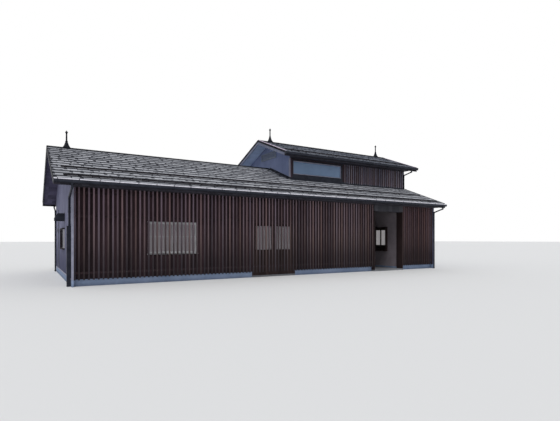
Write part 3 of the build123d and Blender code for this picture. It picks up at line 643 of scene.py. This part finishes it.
# The pale cover strip is a painted sunlit highlight on the dark cappings.
painted_highlight_paint = mottled_finish("pale_painted_highlight_paint", 0.5, (5.0, 6.0), (0.42, 0.34, 0.45),
                               (0.58, 0.48, 0.6), (0.0008, 45.0))
cappings, covers = bmesh.new(), bmesh.new()
for low, high, right_end in ((main_low, main_high, upper_wall_y), (upper_low, upper_high, 0.0)):
    left, right = low.x - VERGE - CAPPING, high.x + VERGE
    for x, end in ((left, 0.0), (right, right_end)):
        add_sloped(cappings, x, x + CAPPING, low.y, end, high.z, -CAPPING_DOWN, CAPPING_UP)
for x in (left, right + CAPPING - COVER):
    add_sloped(covers, x, x + COVER, upper_low.y, 0.0, upper_high.z, CAPPING_UP,
               CAPPING_UP + COVER_THICK)
add_rear_copy(cappings)
add_rear_copy(covers)
set_piece("verge_cappings", cappings, black_paint, edge=0.002)
set_piece("upper_verge_painted_highlights", covers, painted_highlight_paint, edge=0.002)

dark_soffit = stained_wood("dark_soffit_boards", (0.016, 0.015, 0.021), (0.038, 0.036, 0.048),
                           30.0, 0.2)
dress(dark_soffit, "main_eave_boards", "upper_eave_boards")
verge_soffit = stained_wood("verge_soffit_boards", (0.037, 0.033, 0.064),
                            (0.086, 0.078, 0.14), 30.0, 0.2)
# The raised roof's soffit boards are pale, brightened further and tinted blue as painted light in
# the shade of the overhang.
painted_light_soffit = mottled_finish("painted_light_soffit_boards", 0.7, (3.0, 6.0), (0.44, 0.56, 0.77),
                             (0.55, 0.68, 0.92), (0.001, 30.0, 3.0, (0.1, 1, 1)))
bm = bmesh.new()
lay_verge_soffit(bm, main_low.x, wall_left, main_low.y, main_high.z - MAIN_SLAB)
add_rear_copy(bm)
set_piece("main_verge_soffits", bm, verge_soffit)
bm = bmesh.new()
for x0, x1 in ((upper_low.x, gable_x), (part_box("upper_right_gable")[1].x, upper_high.x)):
    lay_verge_soffit(bm, x0, x1, upper_low.y, upper_high.z - UPPER_SLAB)
add_rear_copy(bm)
set_piece("upper_verge_soffits", bm, painted_light_soffit)

# Gutters: folded dark metal troughs on strap brackets, 0.6 m apart. The front rim of the main
# gutters is a pale turned-over strip that shows as a thin bright line, a painted highlight of sun
# on the gutter lip.
BRACKET_STEP = 0.6
BRACKET_IN = 0.1
RIM_HEIGHT = 0.03
RIM_THICK = 0.006
RIM_BACK = 0.01
RIM_UP = 0.004
STRAP_WIDTH = 0.022
STRAP_THICK = 0.005
STRAP_RUN = (-0.009, 0.122)
STRAP_FACE = (-0.009, -0.003)
STRAP_DOWN = 0.085
UNDER_STRAP = (0.028, 0.12)
# The pale rim is a painted highlight of sun on the main gutters' lip.
painted_highlight_metal = mottled_finish("painted_highlight_metal_trim", 0.4, (6.0, 6.0), (0.62, 0.61, 0.68),
                            (0.78, 0.77, 0.84), (0.0008, 35.0))
dress(dark_metal, "main_gutters", "upper_gutters")
highlight_rims, brackets = bmesh.new(), bmesh.new()
for node, rim in (("main_gutters", highlight_rims), ("upper_gutters", brackets)):
    low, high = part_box(node)
    strap_z = high.z + RIM_UP
    add_block(rim, (low.x, low.y - RIM_THICK, high.z - RIM_HEIGHT),
              (high.x, low.y + RIM_BACK, strap_z))
    for i in range(int((high.x - low.x - 2 * BRACKET_IN) / BRACKET_STEP) + 1):
        x = low.x + BRACKET_IN + i * BRACKET_STEP
        for y0, y1, z0, z1 in ((*STRAP_RUN, strap_z, strap_z + STRAP_THICK),
                               (*STRAP_FACE, high.z - STRAP_DOWN, strap_z + STRAP_THICK),
                               (*UNDER_STRAP, low.z - STRAP_THICK, low.z)):
            add_block(brackets, (x, low.y + y0, z0), (x + STRAP_WIDTH, low.y + y1, z1))
add_rear_copy(highlight_rims)
add_rear_copy(brackets)
set_piece("gutter_highlight_rims", highlight_rims, painted_highlight_metal, edge=0.0015)
set_piece("gutter_brackets", brackets, dark_metal)

# Downpipes: round painted pipes from the gutters to the foot of the walls, or from the
# raised roof to the main one. They have socket collars at the bends, an outlet cone
# under the gutter and straps back to the wall.
PIPE_R = 0.033
PIPE_GAP = 0.012
PIPE_SIDES = 24
COLLAR = (0.03, 0.075)
COLLAR_OUT = 0.005
ELBOW_OUT = 0.004
OUTLET_R = 0.048
OUTLET_HEIGHT = 0.035
OUTLET_IN = 0.07
OUTLET_DROP = 0.13
OUTLET_SHIFT = 0.12
KNEE_SLOPE = 0.23
RING = 0.03
RING_OUT = 0.003
TAIL = (0.006, 0.024)
TAIL_THICK = 0.0015
STRAP_HEIGHTS = (0.45, 1.55, 2.6)
UPPER_STRAPS_UP = (0.15, 0.55)
LEFT_PIPE_IN = 0.09
SLEEVE = (2.44, 2.54)
SLEEVE_OUT = 0.006


def add_pipe(bm, gutter, shift, x, y, foot, straps, wall):
    out_y, bend_z = gutter.y + OUTLET_IN, gutter.z - OUTLET_DROP
    knee_z = bend_z - KNEE_SLOPE * (y - out_y)
    points = [Vector(point) for point in ((x - shift, out_y, gutter.z), (x - shift, out_y, bend_z),
                                          (x, y, knee_z), (x, y, foot))]
    for start, end in zip(points, points[1:]):
        add_rod(bm, start, end, PIPE_R, PIPE_SIDES)
        run = (end - start).normalized()
        for place, way in ((start, 1), (end, -1)):
            add_rod(bm, place + run * way * COLLAR[0], place + run * way * COLLAR[1],
                    PIPE_R + COLLAR_OUT, PIPE_SIDES)
    for bend in points[1:-1]:
        bmesh.ops.create_uvsphere(bm, u_segments=PIPE_SIDES, v_segments=12,
                                  radius=PIPE_R + ELBOW_OUT, matrix=Matrix.Translation(bend))
    add_rod(bm, points[0], points[0] - Vector((0, 0, OUTLET_HEIGHT)), OUTLET_R, PIPE_SIDES,
            PIPE_R + COLLAR_OUT)
    for z in straps:
        add_rod(bm, (x, y, z), (x, y, z + RING), PIPE_R + RING_OUT, PIPE_SIDES)
        add_block(bm, (min(x, wall[0]), min(y, wall[1]), z + TAIL[0]),
                  (max(x, wall[0]) + TAIL_THICK, max(y, wall[1]) + TAIL_THICK, z + TAIL[1]))


def set_pipes(name, bm, node):
    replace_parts(set_piece(name, bm, dark_metal, smooth=True), node)


main_gutter, upper_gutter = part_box("main_gutters")[0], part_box("upper_gutters")[0]
left_x, right_x = wall_left - PIPE_R - PIPE_GAP, wall_right - PIPE_R
left_y = front_face + LEFT_PIPE_IN
left_wall = (wall_left, left_y)
bm = bmesh.new()
add_pipe(bm, main_gutter, 0.0, left_x, left_y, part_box("front_left_downpipe")[0].z,
         STRAP_HEIGHTS[2:], left_wall)
add_rod(bm, (left_x, left_y, SLEEVE[0]), (left_x, left_y, SLEEVE[1]), PIPE_R + SLEEVE_OUT,
        PIPE_SIDES)
set_pipes("left_front_pipe", bm, "front_left_downpipe")
bm = bmesh.new()
add_pipe(bm, main_gutter, OUTLET_SHIFT, right_x, wing_front - PIPE_R - PIPE_GAP,
         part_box("front_right_downpipe")[0].z, STRAP_HEIGHTS, (right_x, wing_front))
set_pipes("right_front_pipe", bm, "front_right_downpipe")
bm = bmesh.new()
add_pipe(bm, main_gutter, 0.0, left_x, left_y, 0.0, STRAP_HEIGHTS, left_wall)
add_pipe(bm, main_gutter, OUTLET_SHIFT, right_x, front_face - PIPE_R - PIPE_GAP, 0.0,
         STRAP_HEIGHTS, (right_x, front_face))
bmesh.ops.scale(bm, vec=(1, -1, 1), verts=bm.verts)
bmesh.ops.reverse_faces(bm, faces=bm.faces)
set_pipes("rear_pipes", bm, "rear_downpipes")
upper_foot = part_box("upper_downpipes")[0].z
bm = bmesh.new()
add_pipe(bm, upper_gutter, 0.0, right_x, upper_wall_y - PIPE_R - PIPE_GAP, upper_foot,
         [upper_foot + up for up in UPPER_STRAPS_UP], (right_x, upper_wall_y))
add_rear_copy(bm)
set_pipes("upper_pipes", bm, "upper_downpipes")

# Cover at the foot of the left pipe: a square dark metal sleeve with two straps and
# a flat lid, screwed to the gable wall.
COVER_STRAPS = (0.38, 1.28)
COVER_STRAP_HEIGHT = 0.035
COVER_STRAP_OUT = 0.004
COVER_SCREWS = (0.12, 0.82, 1.72)
COVER_SCREW_IN = 0.02
COVER_SCREW_R = 0.007
LID_OUT = 0.006
LID_THICK = 0.012
dress(dark_metal, "pipe_cover")
low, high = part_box("pipe_cover")
bm = bmesh.new()
for z in COVER_STRAPS:
    add_block(bm, (low.x - COVER_STRAP_OUT, low.y - COVER_STRAP_OUT, z),
              (high.x, high.y + COVER_STRAP_OUT, z + COVER_STRAP_HEIGHT))
for z in COVER_SCREWS:
    for y in (low.y + COVER_SCREW_IN, high.y - COVER_SCREW_IN):
        add_rod(bm, (low.x, y, z), (low.x - COVER_STRAP_OUT, y, z), COVER_SCREW_R, 8)
add_block(bm, (low.x - LID_OUT, low.y - LID_OUT, high.z),
          (high.x, high.y + LID_OUT, high.z + LID_THICK))
set_piece("cover_straps", bm, dark_metal, edge=0.0015)

# Snow guards: dark steel bars across the slopes on bent plates, which are nailed
# under the shingles every 0.6 m.
MAIN_GUARDS = (0.24, 1.38)
UPPER_GUARDS = (0.43,)
PLATE_STEP = 0.6
PLATE_IN = 0.35
PLATE_WIDTH = 0.03
PLATE_RUN = (0.03, 0.16)
PLATE_LIFT = (0.008, 0.013)
PLATE_BENT = 0.004
PLATE_TOP = 0.062
guard_steel = mottled_finish("guard_steel", 0.6, (20.0, 5.0), (0.01, 0.01, 0.013),
                             (0.03, 0.026, 0.03), shine=0.08, stops=(0.3, 0.75))
dress(guard_steel, "front_snow_guards", "rear_snow_guards")
bm = bmesh.new()
for low, high, ups in ((main_low, main_high, MAIN_GUARDS), (upper_low, upper_high, UPPER_GUARDS)):
    for y in [low.y + up for up in ups]:
        foot_z = high.z + ROOF_SLOPE * y
        for i in range(int((high.x - low.x - 2 * PLATE_IN) / PLATE_STEP) + 1):
            x = low.x + PLATE_IN + i * PLATE_STEP
            add_sloped(bm, x, x + PLATE_WIDTH, y + PLATE_RUN[0], y + PLATE_RUN[1], high.z,
                       *PLATE_LIFT)
            add_block(bm, (x, y - PLATE_BENT, foot_z + PLATE_BENT),
                      (x + PLATE_WIDTH, y, foot_z + PLATE_TOP))
add_rear_copy(bm)
set_piece("guard_plates", bm, guard_steel)

# Sliding windows: two sashes in an aluminium frame with frosted glass, at the front
# and the rear. A folded sill with a drip is fixed under each, a flashing strip over
# it, and a crescent catch sits where the sashes meet.
FRAME_BAR = 0.045
SASH_BAR = 0.028
SASH_THICK = 0.022
SASH_IN = 0.03
CATCH_R = 0.014
CATCH_OUT = 0.012
CATCH_LEVER = ((-0.006, -0.016, -0.004), (0.006, -0.008, 0.035))
SILL_IN = 0.015
SILL_NOSE = 0.045
SILL_THICK = 0.02
SILL_REACH = 0.03
DRIP = (0.006, 0.032)
HEAD_OUT = 0.027
HEAD_THICK = 0.012
aluminium = mottled_finish("plain_aluminium", 0.34, (3.0, 6.0), (0.42, 0.42, 0.44),
                           (0.56, 0.56, 0.58), (0.0003, 300.0, 2.0, (0.05, 1, 1)),
                           metallic=0.55)
dress(aluminium, "front_window_frame", "rear_window_frames", "gable_window_frames")


def glass_finish(name, low_tone, high_tone, roughness, clearness, shine=0.2):
    ripple = 6.0 if roughness < 0.3 else 220.0
    mat = mottled_finish(name, roughness, (0.8, 3.0), low_tone, high_tone,
                         (0.0006, ripple, 2.0), shine=shine)
    fill_skin(mat, {"Transmission Weight": clearness, "IOR": 1.5})
    return mat


def add_sashes(bm, width, sill, head, face):
    inside = width / 2 - FRAME_BAR
    low, high = sill + FRAME_BAR, head - FRAME_BAR
    back = face + SASH_THICK
    for x0, x1 in ((-inside, 0.0), (0.0, inside)):
        for left, right in ((x0, x0 + SASH_BAR), (x1 - SASH_BAR, x1)):
            add_block(bm, (left, face, low), (right, back, high))
        for z in (low, high - SASH_BAR):
            add_block(bm, (x0 + SASH_BAR, face, z), (x1 - SASH_BAR, back, z + SASH_BAR))
    middle = Vector((0, face, (sill + head) / 2))
    add_rod(bm, middle, middle - Vector((0, CATCH_OUT, 0)), CATCH_R, 16)
    add_block(bm, *[middle + Vector(corner) for corner in CATCH_LEVER])


def plain_sashes(bm, width, sill, head):
    add_sashes(bm, width, sill, head, SASH_IN)
    half = width / 2 + SILL_REACH
    add_block(bm, (-half, -SILL_NOSE, sill - SILL_THICK), (half, SILL_IN, sill))
    add_block(bm, (-half, -SILL_NOSE, sill - DRIP[1]), (half, DRIP[0] - SILL_NOSE, sill))
    add_block(bm, (-half, -HEAD_OUT, head), (half, SILL_IN, head + HEAD_THICK))


def set_windows(name, mat, slot_name, build, *places):
    bm = bmesh.new()
    for x, y, turn, sizes in places:
        made = bmesh.new()
        build(made, *sizes)
        bmesh.ops.rotate(made, cent=(0, 0, 0), verts=made.verts,
                         matrix=Matrix.Rotation(math.radians(turn), 3, "Z"))
        bmesh.ops.translate(made, vec=(x, y, 0), verts=made.verts)
        mesh = mesh_of("window_parts", made)
        bm.from_mesh(mesh)
        bpy.data.meshes.remove(mesh)
    set_piece(name, bm, mat, edge=0.002)


frosted = glass_finish("frosted_panes", (0.335, 0.31, 0.33), (0.42, 0.39, 0.415), 0.5, 0.1)
dress(frosted, "front_window_glass", "bay_door_glass", "rear_window_glass")
window_sizes = (window_right - window_left, window_sill, window_head)
set_windows("aluminium_sashes", aluminium, "sash", plain_sashes,
            ((window_left + window_right) / 2, front_face, 0, window_sizes),
            *[((left + right) / 2, -front_face, 180, window_sizes)
              for left, right, sill, head in rear_windows])

# Gable windows: sliding windows with dim glass that stand 70 mm out of the wall. Dull
# bronze sashes and liners lie over the frame, and folded covers close its top and foot.
GABLE_WINDOWS = ((wall_left, -0.59, -90, (1.5, 1.2, 1.99)), (wall_right, 0.0, 90, window_sizes))
GABLE_SASH_OUT = 0.052
FRAME_OUT = 0.07
GLASS_IN = 0.024
LINER = 0.006
LINER_OUT = 0.004
LINER_EDGE = 0.002
COVER_OUT = 0.078
COVER_END = 0.004
COVER_OVER = 0.02
COVER_INWARD = 0.03
matte_bronze = mottled_finish("matte_bronze_sash", 0.75, (4.0, 6.0), (0.014, 0.012, 0.014),
                              (0.03, 0.026, 0.028), (0.0003, 120.0, 2.0), shine=0.02,
                              stops=(0.3, 0.7))
dim_glass = glass_finish("dim_panes", (0.02, 0.022, 0.03), (0.035, 0.04, 0.05), 0.08, 0.0, 0.03)
dress(dim_glass, "gable_window_glass")


def gable_sashes(bm, width, sill, head):
    add_sashes(bm, width, sill, head, -GABLE_SASH_OUT)
    half = width / 2 - LINER_EDGE
    inside = width / 2 - FRAME_BAR - LINER
    stile = FRAME_BAR / 2 + LINER
    front, back = -FRAME_OUT - LINER_OUT, GLASS_IN - FRAME_OUT
    low, high = sill + LINER_EDGE, head - LINER_EDGE
    for x0, x1 in ((-half, -inside), (-stile, stile), (inside, half)):
        add_block(bm, (x0, front, low), (x1, back, high))
    for z0, z1 in ((low, sill + FRAME_BAR + LINER), (head - FRAME_BAR - LINER, high)):
        add_block(bm, (-inside, front, z0), (inside, back, z1))


def gable_covers(bm, width, sill, head):
    half = width / 2 + COVER_END
    for low, high in ((sill - COVER_OVER, sill + COVER_INWARD),
                      (head - COVER_INWARD, head + COVER_OVER)):
        add_block(bm, (-half, -COVER_OUT, low), (half, 0.0, high))


set_windows("gable_sashes", matte_bronze, "dark_sash", gable_sashes, *GABLE_WINDOWS)
set_windows("gable_window_covers", matte_bronze, "dark_metal", gable_covers, *GABLE_WINDOWS)

# Passage window: milky panes in a deep dark bronze casing that stands out of the
# plaster. Three stiles, a tall foot rail, a head rail and a sill board are fixed on it.
CASING_BAR = 0.06
CASING_OUT = 0.13
STILE = 0.06
STILES_AT = (-0.4, 0.0, 0.4)
RAIL_THICK = 0.05
LOW_RAIL = 0.27
TOP_RAIL = 0.15
SILL_BOARD = 0.05
SILL_BOARD_OUT = 0.02
PAINTED_DAYLIGHT_GLOW = 0.2
bronze = mottled_finish("dark_bronze_frame", 0.4, (4.0, 6.0), (0.022, 0.014, 0.014),
                        (0.045, 0.03, 0.028), (0.0003, 120.0, 2.0), metallic=0.4,
                        stops=(0.3, 0.7))
dress(bronze, "side_window_frame")
milky = glass_finish("milky_panes", (0.7, 0.68, 0.69), (0.85, 0.83, 0.84), 0.5, 0.0)
# The milky panes glow softly as painted daylight from behind.
fill_skin(milky, {"Emission Color": (1.0, 0.96, 0.97), "Emission Strength": PAINTED_DAYLIGHT_GLOW})
dress(milky, "side_window_glass")


def passage_casing(bm, width, sill, head):
    half = width / 2
    inside = half - CASING_BAR
    low, high = sill + LOW_RAIL, head - TOP_RAIL
    for x in STILES_AT:
        add_block(bm, (x - STILE / 2, 0.0, low), (x + STILE / 2, RAIL_THICK, high))
    add_block(bm, (-inside, 0.0, sill + CASING_BAR), (inside, RAIL_THICK, low))
    add_block(bm, (-inside, 0.0, high), (inside, RAIL_THICK, head - CASING_BAR))
    add_block(bm, (-half, -CASING_OUT - SILL_BOARD_OUT, sill - SILL_BOARD), (half, 0.0, sill))


low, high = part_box("side_window_frame")
set_windows("bronze_sashes", bronze, "dark_sash", passage_casing,
            (low.x + CASING_OUT, (low.y + high.y) / 2, -90, (high.y - low.y, low.z, high.z)))

# Raised volume: dark boards on both long sides with a metal casing round each window,
# folded flashings where it stands on the main roof, and grey strips at its corners.
# The panes of its windows are tinted sky blue as a painted reflection, and sit in frames of the
# grey trim paint, whose blue grey is a painted reflection of the sky.
CASING = 0.06
CASING_PROUD = 0.028
FLASHING_PROUD = 0.018
FLASHING_UP = 0.1
FLASHING_OUT = 0.16
FLASHING_LIFT = (0.012, 0.016)
SIDE_FLASHING = 0.008
FLASHING_ENDS = (-0.17, -0.1)
EAVE_LAP_UP = 0.035
STRIP = 0.09
STRIP_RETURN = 0.03
RIGHT_STRIP_FOOT = 3.8
# The sky blue of these panes is a painted reflection of the sky.
painted_reflection_glass = glass_finish("painted_sky_reflection_panes", (0.17, 0.27, 0.43), (0.22, 0.33, 0.52), 0.08, 0.1)
dress(painted_reflection_glass, "upper_window_glass")
# The blue grey trim paint on these frames is a painted reflection of the sky on aluminium.
dress(trim_paint, "upper_window_frames")
upper_foot_z = main_high.z + ROOF_SLOPE * upper_wall_y
upper_top_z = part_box("upper_eave_boards")[0].z + EAVE_LAP_UP
upper_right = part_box("upper_right_gable")[1].x
left, right, sill, head = hole_of("upper_window_frames")
bm = bmesh.new()
lay_boards(bm, (gable_x, upper_right), (upper_foot_z, upper_top_z), upper_wall_y - BOARD_THICK,
           ((left, right, sill, head),))
add_rear_copy(bm)
set_piece("upper_boarding", bm, dark_boards, edge=0.002)

casing_left, casing_right, casing_foot = left - CASING, right + CASING, sill - CASING
flashing_z = upper_foot_z + FLASHING_UP
flashing_left = gable_x - FLASHING_OUT
bm = bmesh.new()
for x0, x1, z0, z1 in ((casing_left, left, casing_foot, upper_top_z),
                       (right, casing_right, casing_foot, upper_top_z),
                       (left, right, casing_foot, sill), (left, right, head, head + CASING),
                       (casing_left, casing_right, flashing_z, casing_foot)):
    add_block(bm, (x0, upper_wall_y - CASING_PROUD, z0), (x1, upper_wall_y, z1))
add_block(bm, (gable_x, upper_wall_y - FLASHING_PROUD, upper_foot_z),
          (upper_right, upper_wall_y, flashing_z))
for x0, x1, y0, y1, low, high in (
        (flashing_left, upper_right, upper_wall_y - FLASHING_OUT, upper_wall_y, *FLASHING_LIFT),
        (flashing_left, gable_x, upper_wall_y, FLASHING_ENDS[0], *FLASHING_LIFT),
        (gable_x - SIDE_FLASHING, gable_x, upper_wall_y, FLASHING_ENDS[1], 0.0, FLASHING_UP)):
    add_sloped(bm, x0, x1, y0, y1, main_high.z, low, high)
add_rear_copy(bm)
set_piece("roof_flashings", bm, dark_metal, edge=0.0015)

bm = bmesh.new()
for x, out, foot in ((gable_x, -1, upper_foot_z), (upper_right, 1, wall_foot + RIGHT_STRIP_FOOT)):
    edge = x + out * TRIM_OUT
    x0, x1 = sorted((x, edge))
    add_block(bm, (x0, upper_wall_y, foot), (x1, upper_wall_y + STRIP, upper_top_z))
    x0, x1 = sorted((x - out * STRIP_RETURN, edge))
    add_block(bm, (x0, upper_wall_y - BOARD_THICK - TRIM_OUT, flashing_z),
              (x1, upper_wall_y, upper_top_z))
add_rear_copy(bm)
set_piece("upper_corner_strips", bm, trim_paint, edge=0.002)

# Doorway behind the slatted bay: a pair of boarded leaves with frosted lights. Thin
# mouldings frame the lights, and a kick plate is screwed to the foot of each leaf.
LIGHTS = ((-1.939, -1.169), (-0.921, -0.195))
LIGHT_SILL = 1.14
LIGHT_HEAD = 2.13
MOULDING = 0.03
MOULDING_OUT = 0.012
KICK_PLATE = (0.14, 0.34)
KICK_OUT = 0.004
LEAF_IN = 0.045
door_wood = stained_wood("door_boards", (0.016, 0.009, 0.0095), (0.05, 0.03, 0.029), 45.0, 0.12)
dress(door_wood, "bay_doors")
leaf_face = front_face + LEAF_IN
foot, top = LIGHT_SILL - MOULDING, LIGHT_HEAD + MOULDING
bm = bmesh.new()
for left, right in LIGHTS:
    for x0, x1, z0, z1 in ((left - MOULDING, left, foot, top), (right, right + MOULDING, foot, top),
                           (left, right, foot, LIGHT_SILL), (left, right, LIGHT_HEAD, top)):
        add_block(bm, (x0, leaf_face - MOULDING_OUT, z0), (x1, leaf_face, z1))
    add_block(bm, (left, leaf_face - KICK_OUT, KICK_PLATE[0]), (right, leaf_face, KICK_PLATE[1]))
set_piece("door_mouldings", bm, door_wood, edge=0.0015)

# Vent hood on the left gable: a sheet metal hood with a thin flange against the wall
# and five bars across its open underside.
FLANGE = 0.03
FLANGE_THICK = 0.004
HOOD_BARS = 5
BAR_HALF = 0.003
BAR_ENDS = (0.02, 0.01)
dress(dark_metal, "vent_hood")
low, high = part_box("vent_hood")
bm = bmesh.new()
add_block(bm, (high.x - FLANGE_THICK, low.y - FLANGE, low.z - FLANGE),
          (high.x, high.y + FLANGE, high.z + FLANGE))
for i in range(HOOD_BARS):
    y = low.y + FLANGE + i * (high.y - low.y - 2 * FLANGE) / (HOOD_BARS - 1)
    add_block(bm, (low.x + BAR_ENDS[0], y - BAR_HALF, low.z - 2 * BAR_HALF),
              (high.x - BAR_ENDS[1], y + BAR_HALF, low.z))
set_piece("hood_flange", bm, dark_metal, edge=0.0015)

# Cable pipe on the left gable: grey plastic pipe with a socket at its top, saddles
# screwed to the wall, and a box whose lid has four screws.
CABLE_R = 0.014
CABLE_GAP = 0.006
SOCKET_OUT = 0.004
SOCKET_LENGTH = 0.03
SADDLES = (0.4, 1.2, 2.7)
SADDLE_HEIGHT = 0.014
SADDLE_OUT = 0.002
SADDLE_THICK = 0.004
SADDLE_HALF = 0.034
BOX_HALF = 0.055
BOX_OUT = 0.064
BOX_HEIGHTS = (1.92, 2.06)
LID_IN = 0.005
LID_FACE = 0.07
LID_SCREW_R = 0.005
LID_SCREW_AT = (0.04, 0.015)
LID_SCREW_OUT = (0.068, 0.072)
pipe_grey = mottled_finish("grey_plastic_pipe", 0.55, (8.0, 4.0), (0.12, 0.12, 0.15),
                           (0.17, 0.17, 0.2))
low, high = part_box("conduit")
cable_x, cable_y = wall_left - CABLE_R - CABLE_GAP, (low.y + high.y) / 2
foot, top = BOX_HEIGHTS
across, inward = LID_SCREW_AT
rings = [(low.z, high.z, 0.0), (high.z - SOCKET_LENGTH, high.z, SOCKET_OUT)]
rings += [(z, z + SADDLE_HEIGHT, SADDLE_OUT) for z in SADDLES]
bm = bmesh.new()
for z0, z1, out in rings:
    add_rod(bm, (cable_x, cable_y, z0), (cable_x, cable_y, z1), CABLE_R + out, 20)
for z in SADDLES:
    add_block(bm, (wall_left - SADDLE_THICK, cable_y - SADDLE_HALF, z),
              (wall_left, cable_y + SADDLE_HALF, z + SADDLE_HEIGHT))
add_block(bm, (wall_left - BOX_OUT, cable_y - BOX_HALF, foot),
          (wall_left, cable_y + BOX_HALF, top))
add_block(bm, (wall_left - LID_FACE, cable_y - BOX_HALF + LID_IN, foot + LID_IN),
          (wall_left - BOX_OUT, cable_y + BOX_HALF - LID_IN, top - LID_IN))
for y in (cable_y - across, cable_y + across):
    for z in (foot + inward, top - inward):
        start, end = [(wall_left - out, y, z) for out in LID_SCREW_OUT]
        add_rod(bm, start, end, LID_SCREW_R, 10)
cable_run = set_piece("cable_run", bm, pipe_grey, edge=0.0015)
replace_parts(cable_run, "conduit")

# Gable vents: framed louvres of grey painted metal under the upper ridge, with
# sloped blades and a thin outer flange screwed to the wall.
VENT_OVER = 0.02
VENT_INWARD = 0.012
VENT_PROUD = 0.006
VENT_DEEP = 0.03
louvre_paint = mottled_finish("grey_louvre_paint", 0.6, (7.0, 5.0), (0.16, 0.19, 0.25),
                              (0.23, 0.26, 0.32))
dress(louvre_paint, "gable_vents")
low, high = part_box("gable_vents")
left, right = low.y - VENT_OVER, high.y + VENT_OVER
foot, top = low.z - VENT_OVER, high.z + VENT_OVER
sill, head = low.z + VENT_INWARD, high.z - VENT_INWARD
bm = bmesh.new()
for x0, x1 in ((low.x - VENT_PROUD, low.x + VENT_DEEP), (high.x - VENT_DEEP, high.x + VENT_PROUD)):
    for y0, y1, z0, z1 in ((left, right, foot, sill), (left, right, head, top),
                           (left, low.y + VENT_INWARD, sill, head),
                           (high.y - VENT_INWARD, right, sill, head)):
        add_block(bm, (x0, y0, z0), (x1, y1, z1))
set_piece("vent_flanges", bm, louvre_paint, edge=0.002)

# Studio: a wide pale floor, a soft key lamp and even light from all round. The camera
# stands before the left end of the front, at eye level.
FLOOR_HALF = 400.0
KEY_STRENGTH = 1.6
SKY_STRENGTH = 0.62
EYE = (-10.092, -19.32, 1.543)
EYE_TURN = -31.3
FILM = 36.0
PHOTO_WIDTH = 560.0
FOCAL_PIXELS = 417.0
SHIFT_PIXELS = 29.5
bm = bmesh.new()
bmesh.ops.create_grid(bm, x_segments=1, y_segments=1, size=FLOOR_HALF)
studio_floor = add_object("studio_floor", mesh_of("studio_floor", bm))
pale_floor = new_finish("pale_floor", 0.9)
coat(pale_floor, (0.72, 0.72, 0.72))
studio_floor.data.materials.append(pale_floor)

world = bpy.data.worlds.new("studio")
bpy.context.scene.world = world
world.use_nodes = True
ambient = world.node_tree.nodes["Background"]
fill(world, ambient, {"Color": (0.95, 0.97, 1.0), "Strength": SKY_STRENGTH})
backdrop = new_node(world, "Background", {"Color": (1.0, 1.0, 1.0)})["Background"]
rays = new_node(world, "LightPath", {})
shown = calc(world, "MAXIMUM", rays["Is Camera Ray"], rays["Is Glossy Ray"])
shown = calc(world, "MAXIMUM", shown, rays["Is Transmission Ray"])
light = new_node(world, "MixShader", {"Fac": shown, 1: ambient.outputs["Background"],
                                      2: backdrop})["Shader"]
join(world, light, world.node_tree.nodes["World Output"].inputs["Surface"])

key = bpy.data.lights.new("key", "SUN")
key.energy = KEY_STRENGTH
key.angle = math.radians(25)
key_lamp = add_object("key", key)
key_lamp.rotation_euler = (math.radians(28), math.radians(-18), 0)

camera = bpy.data.cameras.new("camera")
camera.sensor_width = FILM
camera.lens = FOCAL_PIXELS * FILM / PHOTO_WIDTH
camera.shift_y = SHIFT_PIXELS / PHOTO_WIDTH
camera.clip_end = 2000.0
eye = add_object("camera", camera)
eye.location = EYE
eye.rotation_euler = (math.radians(90), 0, math.radians(EYE_TURN))
bpy.context.scene.camera = eye
bpy.context.scene.view_settings.view_transform = "Standard"
